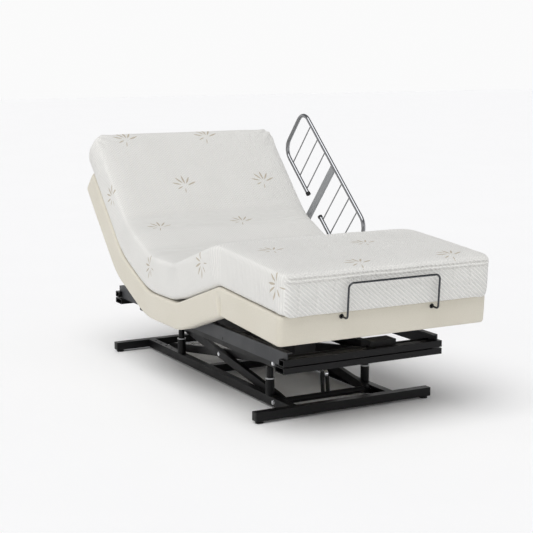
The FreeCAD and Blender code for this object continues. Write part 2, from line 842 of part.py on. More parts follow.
def drive_housing():
    """The long double drive below the lift tubes, with an open trough for each slider."""
    half = s("housing_half")
    shell = box(
        (f"-{half}", s("housing_foot_y"), s("housing_z")),
        (half, s("housing_head_y"), s("housing_top_z")),
    )
    trough = "sizes.slider_half + sizes.socket_play"
    troughs = []
    hangers = []
    for name in ("leg", "back"):
        along = f"sizes.{name}_tube_y"
        reach = f"sizes.{name}_trough_half"
        low = (f"-({trough})", f"{along} - {reach}", "sizes.housing_z + sizes.housing_wall")
        troughs.append(box(low, (trough, f"{along} + {reach}", "sizes.housing_top_z + 1")))
        top = f"sizes.{name}_tube_z - sizes.lift_tube_radius - sizes.hanger_gap"
        for sign in (1, -1):
            hanger_low = (f"{along} - sizes.hanger_half", s("housing_top_z"))
            hanger_high = (f"{along} + sizes.hanger_half", top)
            hangers.append(side_box(sign, f"{half} - sizes.hanger_wide", half, hanger_low, hanger_high))
    gears = []
    for sign in ("-1", "1"):
        spot = ("0", f"{sign} * sizes.gear_y", "sizes.housing_z - sizes.gear_low")
        gears.append(rod("z", spot, s("gear_tall"), s("gear_radius")))
    finish(fuse(cut(shell, *troughs), *hangers, *gears), "drive_housing", BED)


def lift_tube(label, frame, arm_outline, lever_turn):
    """A lift tube with journals in the side plates, two arms with roller pins, and a lever."""
    tube = side_rod(1, "-sizes.lift_tube_half", s("lift_tube_half"), ("0", "0"), s("lift_tube_radius"))
    reach = "sizes.plate_x + sizes.plate_thick"
    journal = side_rod(1, f"-({reach})", reach, ("0", "0"), s("pin_radius"))
    arms = []
    for sign in (1, -1):
        body = new_body()
        start = s("lift_arm_x") if sign > 0 else "-(sizes.lift_arm_x + sizes.lift_arm_thick)"
        plate = new_sketch(body, "YZ_Plane", start)
        outline(plate, arm_outline)
        pad(body, plate, s("lift_arm_thick"))
        arms.append(body)
    lever = new_body()
    blade = new_sketch(lever, "YZ_Plane", "-sizes.lift_lever_thick / 2")
    turn = f"({lever_turn}) * 1 deg"
    tip = (f"sizes.lift_lever_reach * cos({turn})", f"sizes.lift_lever_reach * sin({turn})")
    side = (f"(sizes.lift_lever_wide / 2 * sin({turn}))", f"(sizes.lift_lever_wide / 2 * cos({turn}))")
    outline(
        blade,
        [
            (f"-{side[0]}", side[1]),
            (side[0], f"-{side[1]}"),
            (f"{tip[0]} + {side[0]} * 0.6", f"{tip[1]} - {side[1]} * 0.6"),
            (f"{tip[0]} - {side[0]} * 0.6", f"{tip[1]} + {side[1]} * 0.6"),
        ],
    )
    pad(lever, blade, s("lift_lever_thick"))
    pin_half = "sizes.slider_half - 1"
    pin = side_rod(1, f"-({pin_half})", pin_half, tip, s("lift_pin_radius"))
    far = f"{'' if 'back' in label else '-'}sizes.{label}_arm_reach"
    pieces = [fuse(tube, journal, lever, pin)]
    for arm, sign in zip(arms, (1, -1)):
        seat = side_rod(sign, "0", s("lift_tube_half"), ("0", "0"), s("lift_tube_radius"))
        stub_near = "sizes.lift_roller_x - sizes.lift_stub_past"
        stub = side_rod(sign, stub_near, s("lift_arm_x"), (far, "0"), s("pin_radius"))
        pieces.append(fuse(cut(arm, seat), stub))
    finish(group(*pieces), f"{label}_lift", frame)
    wheels = []
    for sign in (1, -1):
        near = s("lift_roller_x")
        end = f"{near} + sizes.lift_roller_wide"
        wheel = side_rod(sign, near, end, (far, "0"), s("lift_roller_radius"))
        bore = side_rod(sign, f"{near} - 1", f"{end} + 1", (far, "0"), "sizes.pin_radius + sizes.pin_play")
        wheels.append(cut(wheel, bore))
    finish(group(*wheels), f"{label}_lift_rollers", frame)


def section_lifts():
    """The back's long cranked arms and the legs' short ones; each lever hangs straight down."""
    half = "sizes.lift_arm_wide / 2"
    drop = s("back_arm_drop")
    reach = s("back_arm_reach")
    back = [
        ("0", f"-{half}"),
        (f"{reach} * 0.68", f"-{drop} - {half}"),
        (f"{reach} * 0.8", f"-{drop} - {half} * 0.7"),
        (f"{reach} + sizes.lift_arm_tip", "-sizes.lift_arm_tip"),
        (f"{reach} + sizes.lift_arm_nose", s("lift_arm_tip")),
        (f"{reach} - sizes.lift_arm_nose", s("lift_arm_tip")),
        (f"{reach} * 0.72", f"-{drop} + {half}"),
        (f"{reach} * 0.2", f"-{s('back_arm_hollow')}"),
        ("0", half),
    ]
    lift_tube("back", BACK_LIFT, back, "-90 - sizes.back_arm_angle")
    reach = s("leg_arm_reach")
    leg = [
        ("0", half),
        (f"-{reach}", s("lift_arm_tip")),
        (f"-{reach} - sizes.lift_arm_tip", s("lift_arm_nose")),
        (f"-{reach} - sizes.lift_arm_tip", "-sizes.lift_arm_nose"),
        (f"-{reach}", "-sizes.lift_arm_tip"),
        ("0", f"-{half}"),
    ]
    lift_tube("leg", LEG_LIFT, leg, "-90 + sizes.leg_arm_angle")


def sliders():
    """Forked blocks in the drive's troughs; each lever's pin stands in its block's slot."""
    for label in ("back", "leg"):
        along = f"sizes.{label}_tube_y"
        half = "sizes.slider_deep / 2"
        top = "sizes.slider_low_z + sizes.slider_tall"
        block = box(
            ("-sizes.slider_half", f"{along} - {half}", s("slider_low_z")),
            (s("slider_half"), f"{along} + {half}", top),
        )
        way = "sizes.lift_lever_thick / 2 + 1"
        floor = "sizes.slider_low_z + sizes.slider_floor"
        fork = box(
            (f"-({way})", f"{along} - {half} - 1", floor),
            (way, f"{along} + {half} + 1", f"{top} + 1"),
        )
        slot_half = "sizes.slider_slot / 2"
        slot = box(
            ("-sizes.slider_half - 1", f"{along} - {slot_half}", floor),
            ("sizes.slider_half + 1", f"{along} + {slot_half}", f"{top} + 1"),
        )
        finish(cut(block, fork, slot), f"{label}_slider", BED)


# Deck sections ------------------------------------------------------------------------------


def section_rail(sign, start, end, ear, stubs):
    """A section's side rail: a tube, the ear on its hinge end, and the stubs that carry others."""
    low, high = ("-sizes.tube / 2", "sizes.tube / 2")
    near = s("tube_x")
    far = "sizes.tube_x + sizes.tube"
    pieces = [side_box(sign, near, far, (start, low), (end, high))]
    if ear:
        ear_near = f"{far} + sizes.ear_gap"
        ear_far = f"{ear_near} + sizes.ear_thick"
        edges = ("-sizes.ear_back", s("ear_long"))
        root = (s("shim_start"), s("shim_end"))
        if ear == "towards foot":
            edges = ("-sizes.ear_long", s("ear_back"))
            root = ("-sizes.shim_end", "-sizes.shim_start")
        plate = side_box(sign, ear_near, ear_far, (edges[0], low), (edges[1], high))
        shim = side_box(sign, far, ear_near, (root[0], low), (root[1], high))
        hole = side_rod(
            sign, f"{ear_near} - 1", f"{ear_far} + 1", ("0", "0"), "sizes.pin_radius + sizes.pin_play"
        )
        pieces.append(cut(plate, hole))
        pieces.append(shim)
    for spot in stubs:
        reach = f"{far} + sizes.ear_gap + sizes.ear_thick + sizes.stub_past"
        pieces.append(side_rod(sign, far, reach, (spot, "0"), s("pin_radius")))
    return fuse(*pieces)


def section_rails(label, frame, start, end, ear=None, stubs=(), track=None):
    """Both side rails of a section, and the tracks that its lift's rollers press on."""
    pieces = [section_rail(sign, start, end, ear, stubs) for sign in (1, -1)]
    if track:
        low, high = (track[0], "-sizes.tube / 2"), (track[1], "sizes.tube / 2")
        pieces += [
            side_box(sign, s("track_x"), "sizes.track_x + sizes.tube", low, high) for sign in (1, -1)
        ]
    finish(group(*pieces), f"{label}_rails", frame)


def slope(fold, height):
    """How far an end face leans back at a height, so that two faces meet at full fold."""
    return f"(({height}) * tan({fold} / 2 * 1 deg) + sizes.block_gap)"


def block(body, half, low, high, foot_end, head_end, rounded=False):
    """A block right across X; each end is a pair of places along Y, low down and high up."""
    side = new_sketch(body, "YZ_Plane", f"-{half}")
    spots = [(foot_end[0], low), (head_end[0], low), (head_end[1], high), (foot_end[1], high)]
    outline(side, spots)
    feature = pad(body, side, f"2 * {half}")
    if rounded:
        doc.recompute()
        long_edges = top_edges(feature.Shape, size(half), size(high))
        soften = body.newObject("PartDesign::Fillet", "soften")
        soften.Base = (feature, long_edges)
        bind(soften, Radius=s("edge_round"))
    return body


def top_edges(shape, half, high):
    """The two long top edges of a block, which run along Y at its sides."""
    names = []
    for number, edge in enumerate(shape.Edges, start=1):
        points = [vertex.Point for vertex in edge.Vertexes]
        at_top = all(abs(point.z - high) < 1e-4 for point in points)
        one_side = abs(points[0].x - points[-1].x) < 1e-4 and abs(abs(points[0].x) - half) < 1e-4
        if at_top and one_side:
            names.append(f"Edge{number}")
    return names


def soft_section(label, frame, foot_end, head_end, mattress_foot=None, mattress_head=None, holes=()):
    """A section's upholstery, a pad and two side bands, and the mattress block on it.

    Each end is a function of height that gives the end face's place along Y."""
    body = block(
        new_body(),
        s("deck_half"),
        s("pad_low"),
        s("pad_high"),
        (foot_end(s("pad_low")), foot_end(s("pad_high"))),
        (head_end(s("pad_low")), head_end(s("pad_high"))),
    )
    padding = cut(body, *holes) if holes else body
    bands = []
    for sign in (1, -1):
        near = "sizes.deck_half - sizes.band_wide"
        start = near if sign > 0 else "-sizes.deck_half"
        band = new_body()
        side = new_sketch(band, "YZ_Plane", start)
        heights = (s("band_low"), "0", "sizes.pad_low - sizes.band_gap")
        spots = [(foot_end(heights[0]), heights[0]), (head_end(heights[0]), heights[0])]
        spots += [(head_end(height), height) for height in heights[1:]]
        spots += [(foot_end(height), height) for height in heights[:0:-1]]
        outline(side, spots)
        pad(band, side, s("band_wide"))
        bands.append(band)
    finish(group(padding, *bands), f"{label}_upholstery", frame)
    foot = mattress_foot or foot_end
    head = mattress_head or head_end
    mattress = block(
        new_body(),
        s("mattress_half"),
        s("mattress_low"),
        s("mattress_high"),
        (foot(s("mattress_low")), foot(s("mattress_high"))),
        (head(s("mattress_low")), head(s("mattress_high"))),
        rounded=True,
    )
    finish(mattress, f"{label}_mattress", frame)


def inward(place_at, sense, fold, upper_leans=True):
    """An end face at a hinge: it leans back above the hinge line, or below it at the knee."""

    def end(height):
        above = size(height) > 0
        leans = above == upper_leans and abs(size(height)) > 1e-9
        rise = f"({height})" if above else f"(-({height}))"
        lean = slope(fold, rise) if leans else s("block_gap")
        return f"({place_at}) {'+' if sense > 0 else '-'} {lean}"

    return end


def square(place_at):
    """An end face square to its section."""
    return lambda height: place_at


def knee_notches(knee, sense):
    """Hollows in a pad's underside at the knee, which clear the ends of the other section's rails."""
    low = (knee if sense > 0 else f"({knee}) - sizes.knee_notch", "sizes.pad_low - 1")
    high = (f"({knee}) + sizes.knee_notch" if sense > 0 else knee, s("knee_notch"))
    far = "sizes.tube_x + sizes.tube + 2 * (sizes.ear_gap + sizes.ear_thick)"
    return [side_box(sign, "sizes.tube_x - 2", far, low, high) for sign in (1, -1)]


def retainer_holes():
    holes = []
    for sign in (1, -1):
        across = f"{sign} * sizes.retainer_half"
        start = (across, "-sizes.retainer_out", s("retainer_low"))
        depth = "sizes.retainer_out - sizes.retainer_in + 1"
        holes.append(rod("y", start, depth, "sizes.retainer_radius + sizes.socket_play"))
    return holes


def deck():
    seat_end = "sizes.lumbar_hinge_y - sizes.thigh_hinge_y"
    back_fold, thigh_fold, calf_fold = (s("back_fold"), s("thigh_fold"), s("calf_fold"))
    past, before = (s("tube_past"), s("tube_before"))
    section_rails("seat", SEAT, f"-{past}", f"{seat_end} + {past}", stubs=("0", seat_end))
    section_rails(
        "lumbar",
        LUMBAR,
        before,
        f"sizes.lumbar_length + {past}",
        ear="towards head",
        stubs=(s("lumbar_length"),),
    )
    section_rails(
        "back",
        BACK,
        before,
        "sizes.back_length - sizes.tube_short",
        ear="towards head",
        track=(s("track_start"), s("back_track_end")),
    )
    section_rails(
        "thigh",
        THIGH,
        f"-sizes.thigh_length - {past}",
        f"-{before}",
        ear="towards foot",
        stubs=("-sizes.thigh_length",),
        track=("-sizes.thigh_length + sizes.track_start", "-sizes.thigh_track_end"),
    )
    section_rails("calf", CALF, "-sizes.calf_length + sizes.tube_short", f"-{before}", ear="towards foot")
    soft_section("seat", SEAT, inward("0", 1, thigh_fold), inward(seat_end, -1, back_fold))
    soft_section("lumbar", LUMBAR, inward("0", 1, back_fold), inward(s("lumbar_length"), -1, back_fold))
    soft_section(
        "back",
        BACK,
        inward("0", 1, back_fold),
        square(s("back_length")),
        mattress_head=square(s("mattress_head")),
    )
    soft_section(
        "thigh",
        THIGH,
        inward("-sizes.thigh_length", 1, calf_fold, upper_leans=False),
        inward("0", -1, thigh_fold),
        holes=knee_notches("-sizes.thigh_length", 1),
    )
    soft_section(
        "calf",
        CALF,
        square("-sizes.calf_length"),
        inward("0", -1, calf_fold, upper_leans=False),
        mattress_foot=square("-sizes.mattress_foot"),
        holes=retainer_holes() + knee_notches("0", -1),
    )


# Bent rods ----------------------------------------------------------------------------------


def rounded_path(points, radii):
    """Straight runs through the points, with an arc of the given radius at each inner one."""
    edges = []
    start = points[0]
    for before, corner, after, radius in zip(points, points[1:], points[2:], radii):
        arriving = (corner - before).normalize()
        leaving = (after - corner).normalize()
        setback = radius * math.tan(arriving.getAngle(leaving) / 2)
        first = corner - arriving * setback
        last = corner + leaving * setback
        inward_way = (leaving - arriving).normalize()
        middle = corner + inward_way * (math.hypot(radius, setback) - radius)
        edges.append(Part.LineSegment(start, first).toShape())
        edges.append(Part.Arc(first, middle, last).toShape())
        start = last
    edges.append(Part.LineSegment(start, points[-1]).toShape())
    return Part.Wire(edges)


def bent_rod(name, points, radii, radius):
    """A round rod swept along a path of runs and arcs; its sizes come from the sheet."""
    path = rounded_path(points, radii)
    way = (points[1] - points[0]).normalize()
    ring = Part.Wire([Part.Circle(points[0], way, radius).toShape()])
    item = doc.addObject("Part::Feature", name)
    item.Shape = path.makePipeShell([ring], True, False)
    expected = math.pi * radius**2 * path.Length
    assert abs(item.Shape.Volume - expected) < 0.01 * expected, f"{name}: the sweep's volume is wrong"
    return item


def retainer():
    """A U of thin rod whose feet turn into the calf pad's foot end."""
    half, low, top = (size(s(f"retainer_{part}")) for part in ("half", "low", "top"))
    out, inside = (size(s("retainer_out")), size(s("retainer_in")))
    right = [(half, -inside, low), (half, -out, low), (half, -out, top)]
    left = [(-across, along, up) for across, along, up in reversed(right)]
    points = [FreeCAD.Vector(*spot) for spot in right + left]
    foot, bend = (size(s("retainer_foot_bend")), size(s("retainer_bend")))
    radius = size(s("retainer_radius"))
    finish(bent_rod("retainer_rod", points, [foot, bend, bend, foot], radius), "mattress_retainer", CALF)


def assist_rail():
    """A half-length side rail: an open loop on a flat post that slides in a socket on the back."""
    across, half, gap = (size(s(f"assist_{part}")) for part in ("x", "half", "gap"))
    low, high = (size(s("assist_low")), size(s("assist_high")))
    spots = [(gap, low), (half, low), (half, high), (-half, high), (-half, low), (-gap, low)]
    points = [FreeCAD.Vector(across, along, up) for along, up in spots]
    corner, radius = (size(s("assist_corner")), size(s("assist_radius")))
    finish(bent_rod("assist_loop", points, [corner] * 4, radius), "assist_loop", ASSIST)
    spindles = []
    sleeves = []
    for sign in (1, -1):
        for step in range(3):
            along = f"{sign} * (sizes.spindle_first + sizes.spindle_pitch * {step})"
            start = (s("assist_x"), along, "sizes.assist_low + sizes.assist_radius")
            length = "sizes.assist_high - sizes.assist_low - 2 * sizes.assist_radius"
            spindles.append(rod("z", start, length, s("spindle_radius")))
        outer = "sizes.assist_gap"
        inner = "sizes.assist_gap - sizes.sleeve_length"
        start = inner if sign > 0 else f"-({outer})"
        sleeves.append(
            rod("y", (s("assist_x"), start, s("assist_low")), s("sleeve_length"), s("sleeve_radius"))
        )
    finish(group(*spindles), "assist_spindles", ASSIST)
    finish(group(*sleeves), "assist_sleeves", ASSIST)
    near = "sizes.assist_x - sizes.post_thick / 2"
    far = "sizes.assist_x + sizes.post_thick / 2"
    side = "sizes.post_wide / 2"
    post_top = "sizes.assist_high - sizes.assist_radius"
    finish(box((near, f"-{side}", s("post_low")), (far, side, post_top)), "assist_post", ASSIST)


ASSIST_RISE = (
    f"((sizes.assist_z - ({BACK_HINGE[1]})) * cos(sizes.back_angle * 1 deg)"
    f" - (sizes.assist_y - ({BACK_HINGE[0]})) * sin(sizes.back_angle * 1 deg))"
)


def assist_socket():
    """The post's socket, on an arm that runs in under the side band and steps up to the rail."""
    play = s("socket_play")
    wall = s("socket_wall")
    near = f"sizes.assist_x - sizes.post_thick / 2 - {play}"
    far = f"sizes.assist_x + sizes.post_thick / 2 + {play}"
    side = f"sizes.post_wide / 2 + {play}"
    low, high = ("-sizes.socket_low", s("socket_high"))
    shell_low = (f"{near} - {wall}", f"-({side}) - {wall}", low)
    shell = box(shell_low, (f"{far} + {wall}", f"{side} + {wall}", high))
    way = box((near, f"-({side})", f"{low} - 1"), (far, side, f"{high} + 1"))
    edge = f"{side} + {wall}"
    riser_far = "sizes.riser_x + sizes.bracket_thick"
    arm = box((s("riser_x"), "0", low), (f"{near} - {wall}", edge, f"{low} + sizes.bracket_thick"))
    riser = socket_plate(s("riser_x"), riser_far, edge, low)
    shelf = socket_plate("sizes.tube_x + sizes.tube", riser_far, edge)
    finish(fuse(cut(shell, way), arm, riser, shelf), "assist_socket", ASSIST)


def socket_plate(near, far, edge, low=None):
    """A plate of the bracket whose top, and whose underside without a low, lie along the back."""
    lean = "(sizes.back_angle - sizes.assist_angle) * 1 deg"
    top = f"(sizes.shelf_high - {ASSIST_RISE}) / cos({lean})"
    under = f"(sizes.shelf_low - {ASSIST_RISE}) / cos({lean})"
    far_lift = f"({edge}) * tan({lean})"
    body = new_body()
    plate = new_sketch(body, "YZ_Plane", near)
    lower = (low, low) if low else (under, f"{under} + {far_lift}")
    outline(plate, [("0", lower[0]), (edge, lower[1]), (edge, f"{top} + {far_lift}"), ("0", top)])
    pad(body, plate, f"({far}) - ({near})")
    return body


# Assembly -----------------------------------------------------------------------------------


def check(items):
    """Stop if any object failed, or any sub-part's shape is missing or not valid."""
    for item in doc.Objects:
        assert not {"Invalid", "Error"} & set(item.State), f"{item.Name} failed: {item.State}"
    for item in items:
        assert not item.Shape.isNull() and item.Shape.isValid(), f"{item.Label} has no valid shape"
        assert item.Shape.Solids, f"{item.Label} has no solid"


def main():
    base()
    scissor()
    lift_rails()
    channels()
    side_plates()
    pivot_bolts("carriage_pivot_bolts", s("high_pivot_z"), s("inner_arm_x"))
    tie_rod()
    control_box()
    drive_housing()
    section_lifts()
    sliders()
    deck()
    retainer()
    assist_rail()
    assist_socket()
    doc.recompute()
    check(NODES)
    os.makedirs("parts", exist_ok=True)
    for item in NODES:
        item.Shape.exportStep(f"parts/{item.Label}.step")
    print(len(NODES), "sub-parts")


main()
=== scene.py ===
import json
import math
import random

import bmesh
import bpy
import numpy as np
from mathutils import Matrix, Vector


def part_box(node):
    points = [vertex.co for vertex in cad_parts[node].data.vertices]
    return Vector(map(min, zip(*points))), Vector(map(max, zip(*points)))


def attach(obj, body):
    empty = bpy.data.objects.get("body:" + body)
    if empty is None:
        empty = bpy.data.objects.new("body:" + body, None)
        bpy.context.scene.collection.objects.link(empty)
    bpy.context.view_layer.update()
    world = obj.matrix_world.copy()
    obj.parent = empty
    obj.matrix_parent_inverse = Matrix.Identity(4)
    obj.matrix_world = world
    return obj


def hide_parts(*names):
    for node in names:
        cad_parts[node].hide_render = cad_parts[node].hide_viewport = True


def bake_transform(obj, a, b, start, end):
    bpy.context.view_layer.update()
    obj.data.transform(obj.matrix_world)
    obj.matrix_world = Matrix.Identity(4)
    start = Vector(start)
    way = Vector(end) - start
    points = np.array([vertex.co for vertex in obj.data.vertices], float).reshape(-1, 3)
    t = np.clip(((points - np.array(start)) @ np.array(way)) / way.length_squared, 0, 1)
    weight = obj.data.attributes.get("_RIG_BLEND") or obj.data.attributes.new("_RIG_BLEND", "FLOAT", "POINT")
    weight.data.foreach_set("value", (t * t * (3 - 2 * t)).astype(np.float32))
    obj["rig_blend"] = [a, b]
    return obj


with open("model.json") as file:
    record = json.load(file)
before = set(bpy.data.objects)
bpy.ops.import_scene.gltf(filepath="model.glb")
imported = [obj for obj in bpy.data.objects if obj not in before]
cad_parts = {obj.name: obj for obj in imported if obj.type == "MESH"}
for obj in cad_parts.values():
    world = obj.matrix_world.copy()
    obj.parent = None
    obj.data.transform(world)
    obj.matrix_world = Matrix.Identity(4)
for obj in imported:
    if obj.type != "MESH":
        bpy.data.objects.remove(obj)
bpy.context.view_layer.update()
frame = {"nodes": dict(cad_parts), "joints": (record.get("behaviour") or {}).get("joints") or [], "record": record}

# Adjustable bed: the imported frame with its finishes, and the soft pieces made over it.
# Lengths are in metres. X runs across the bed, +Y towards the head, +Z up.

MID_X = -0.017
LAYOUT = {joint["name"]: joint.get("pos_m") for joint in frame["joints"]}


def hinge(name):
    """A hinge's place in the bed's side plane."""
    return Vector((LAYOUT[name][1], LAYOUT[name][2]))


THIGH_HINGE = hinge("thigh_raise")
LUMBAR_HINGE = hinge("back_raise")
KNEE = hinge("calf_fold")
BACK_HINGE = hinge("back_follow")


def heading(degrees):
    """A direction in the side plane, given by its rise from the level towards the head."""
    angle = math.radians(degrees)
    return Vector((math.cos(angle), math.sin(angle)))


CALF_WAY = heading(3.8)
BACK_WAY = heading(46.0)


# Materials ----------------------------------------------------------------------------------


def value_of(spec):
    return (*spec, 1.0) if isinstance(spec, tuple) and len(spec) == 3 else spec


class Tree:
    """A short way to place nodes and join them."""

    def __init__(self, tree):
        self.tree = tree

    def add(self, kind, settings=None, **inputs):
        node = self.tree.nodes.new(kind)
        for name, value in (settings or {}).items():
            setattr(node, name, value)
        for name, value in inputs.items():
            self.feed(node, name, value)
        return node

    def feed(self, node, name, value):
        numbered = name.startswith("n") and name[1:].isdigit()
        key = int(name[1:]) if numbered else name.replace("_", " ")
        socket = node.inputs[key]
        if isinstance(value, bpy.types.NodeSocket):
            self.tree.links.new(value, socket)
        else:
            socket.default_value = value_of(value) if socket.type == "RGBA" else value

    def math(self, operation, a, b=0.0, c=0.0, clamp=False):
        node = self.add("ShaderNodeMath", {"operation": operation, "use_clamp": clamp}, n0=a, n1=b)
        if operation in ("MULTIPLY_ADD", "WRAP", "COMPARE", "SMOOTH_MIN", "SMOOTH_MAX"):
            self.feed(node, "n2", c)
        return node.outputs[0]

    def ramp(self, value, low, high, start=0.0, end=1.0):
        """A smooth step from start at low to end at high."""
        node = self.add("ShaderNodeMapRange", {"interpolation_type": "SMOOTHSTEP"}, n0=value)
        for key, number in ((1, low), (2, high), (3, start), (4, end)):
            node.inputs[key].default_value = number
        return node.outputs[0]

    def mix(self, factor, a, b):
        node = self.add("ShaderNodeMix", {"data_type": "RGBA"})
        self.feed(node, "n0", factor)
        self.feed(node, "n6", a)
        self.feed(node, "n7", b)
        return node.outputs[2]

    def noise(self, vector, scale, detail=3.0, rough=0.5):
        node = self.add("ShaderNodeTexNoise", Vector=vector, Scale=scale, Detail=detail,
                        Roughness=rough)
        return node.outputs["Fac"]

    def bump(self, height, distance, strength=1.0, normal=None):
        node = self.add("ShaderNodeBump", Height=height, Distance=distance, Strength=strength)
        if normal is not None:
            self.feed(node, "Normal", normal)
        return node.outputs["Normal"]

    def group(self, tree, **inputs):
        node = self.add("ShaderNodeGroup", {"node_tree": tree})
        for name, value in inputs.items():
            self.feed(node, name, value)
        return node


FLOAT, COLOUR, VECTOR = "NodeSocketFloat", "NodeSocketColor", "NodeSocketVector"


def effect(name, inputs, outputs):
    """An empty shader group with named sockets, and its input and output nodes."""
    tree = bpy.data.node_groups.new(name, "ShaderNodeTree")
    for label, kind, default in inputs:
        socket = tree.interface.new_socket(label, in_out="INPUT", socket_type=kind)
        if default is not None:
            socket.default_value = value_of(default)
    for label, kind in outputs:
        tree.interface.new_socket(label, in_out="OUTPUT", socket_type=kind)
    maker = Tree(tree)
    return tree, maker, maker.add("NodeGroupInput").outputs, maker.add("NodeGroupOutput")


def make_coat_effect():
    """Paint's fine orange peel, its cloudy gloss and the dust and rubbed marks on it."""
    tree, t, given, out = effect(
        "coat_grain",
        (("Vector", VECTOR, None), ("Colour", COLOUR, (0.02, 0.02, 0.02)),
         ("Rub Colour", COLOUR, (0.2, 0.2, 0.2)), ("Rub", FLOAT, 0.2), ("Grain Scale", FLOAT, 700.0),
         ("Low Gloss", FLOAT, 0.36), ("High Gloss", FLOAT, 0.5)),
        (("Colour", COLOUR), ("Roughness", FLOAT), ("Height", FLOAT)),
    )
    cloud = t.noise(given["Vector"], 9.0, 4.0)
    patch = t.noise(given["Vector"], 55.0, 5.0, 0.6)
    grain = t.noise(given["Vector"], given["Grain Scale"], 2.0)
    marks = t.math("MULTIPLY", t.ramp(patch, 0.58, 0.74), t.ramp(cloud, 0.45, 0.65))
    rubbed = t.math("MULTIPLY", marks, given["Rub"])
    shade = t.math("MULTIPLY_ADD", cloud, 0.35, 0.82)
    base = t.add("ShaderNodeVectorMath", {"operation": "SCALE"}, n0=given["Colour"])
    t.feed(base, "Scale", shade)
    t.feed(out, "Colour", t.mix(rubbed, base.outputs[0], given["Rub Colour"]))
    span = t.math("SUBTRACT", given["High Gloss"], given["Low Gloss"])
    gloss = t.ramp(cloud, 0.3, 0.7)
    t.feed(out, "Roughness", t.math("MULTIPLY_ADD", gloss, span, given["Low Gloss"]))
    t.feed(out, "Height", grain)
    return tree


def make_metal_effect():
    """Bright metal's fine scratches and the faint smears that cloud its gloss."""
    tree, t, given, out = effect(
        "metal_polish",
        (("Vector", VECTOR, None), ("Colour", COLOUR, (0.6, 0.6, 0.6)), ("Low Gloss", FLOAT, 0.05),
         ("High Gloss", FLOAT, 0.16), ("Scratch Scale", FLOAT, 240.0)),
        (("Colour", COLOUR), ("Roughness", FLOAT), ("Height", FLOAT)),
    )
    smear = t.noise(given["Vector"], 24.0, 5.0, 0.62)
    stretch = t.add("ShaderNodeMapping", Vector=given["Vector"], Scale=(1.0, 0.06, 1.0))
    scratch = t.noise(stretch.outputs[0], given["Scratch Scale"], 4.0, 0.7)
    tone = t.math("MULTIPLY_ADD", smear, 0.16, 0.92)
    base = t.add("ShaderNodeVectorMath", {"operation": "SCALE"}, n0=given["Colour"])
    t.feed(base, "Scale", tone)
    t.feed(out, "Colour", base.outputs[0])
    span = t.math("SUBTRACT", given["High Gloss"], given["Low Gloss"])
    gloss = t.ramp(smear, 0.35, 0.7)
    t.feed(out, "Roughness", t.math("MULTIPLY_ADD", gloss, span, given["Low Gloss"]))
    t.feed(out, "Height", scratch)
    return tree


def make_leaf_effect():
    """One slim leaf, pointed at both ends, as a mask round the origin of its own length."""
    tree, t, given, out = effect(
        "leaf", (("Vector", VECTOR, None), ("Plump", FLOAT, 0.16)), (("Mask", FLOAT),)
    )
    part = t.add("ShaderNodeSeparateXYZ", n0=given["Vector"])
    belly = t.math("SUBTRACT", 1.0, t.math("MULTIPLY", part.outputs[0], part.outputs[0]))
    spread = t.math("MULTIPLY", belly, given["Plump"])
    inside = t.math("SUBTRACT", spread, t.math("ABSOLUTE", part.outputs[1]))
    t.feed(out, "Mask", t.ramp(inside, -0.01, 0.03))
    return tree


LEAVES = (
    # centre across, centre along, turn in degrees, half length, plumpness
    (0.000, 0.030, 96.0, 0.021, 0.17),
    (0.017, 0.026, 58.0, 0.019, 0.17),
    (-0.017, 0.027, 131.0, 0.019, 0.17),
    (0.030, 0.011, 22.0, 0.020, 0.16),
    (-0.030, 0.013, 163.0, 0.018, 0.16),
    (-0.021, -0.006, 204.0, 0.013, 0.18),
    (-0.004, -0.020, 258.0, 0.012, 0.15),
)
SPRIG_SIZE = 1.3
SPRIG_ACROSS = 0.420
SPRIG_ALONG = 0.290


def make_sprig_effect(leaf):
    """Sprigs of slim leaves on a staggered grid, as a mask over a flat cloth."""
    tree, t, given, out = effect("sprigs", (("Vector", VECTOR, None),), (("Mask", FLOAT),))
    part = t.add("ShaderNodeSeparateXYZ", n0=given["Vector"])
    row = t.math("FLOOR", t.math("DIVIDE", part.outputs[1], SPRIG_ALONG))
    odd = t.math("MODULO", t.math("ABSOLUTE", row), 2.0)
    shifted = t.math("MULTIPLY_ADD", odd, SPRIG_ACROSS / 2, part.outputs[0])
    across = t.math("WRAP", shifted, SPRIG_ACROSS / 2, -SPRIG_ACROSS / 2)
    middle = t.math("MULTIPLY_ADD", row, SPRIG_ALONG, SPRIG_ALONG / 2)
    along = t.math("SUBTRACT", part.outputs[1], middle)
    cell = t.add("ShaderNodeCombineXYZ", n0=across, n1=along).outputs[0]
    mask = None
    for x, y, turn, half, plump in LEAVES:
        place = t.add("ShaderNodeMapping", {"vector_type": "TEXTURE"}, Vector=cell)
        place.inputs["Location"].default_value = (x * SPRIG_SIZE, y * SPRIG_SIZE, 0.0)
        place.inputs["Rotation"].default_value = (0.0, 0.0, math.radians(turn))
        place.inputs["Scale"].default_value = (half * SPRIG_SIZE,) * 3
        one = t.group(leaf, Vector=place.outputs[0], Plump=plump).outputs[0]
        mask = one if mask is None else t.math("MAXIMUM", mask, one)
    t.feed(out, "Mask", mask)
    return tree


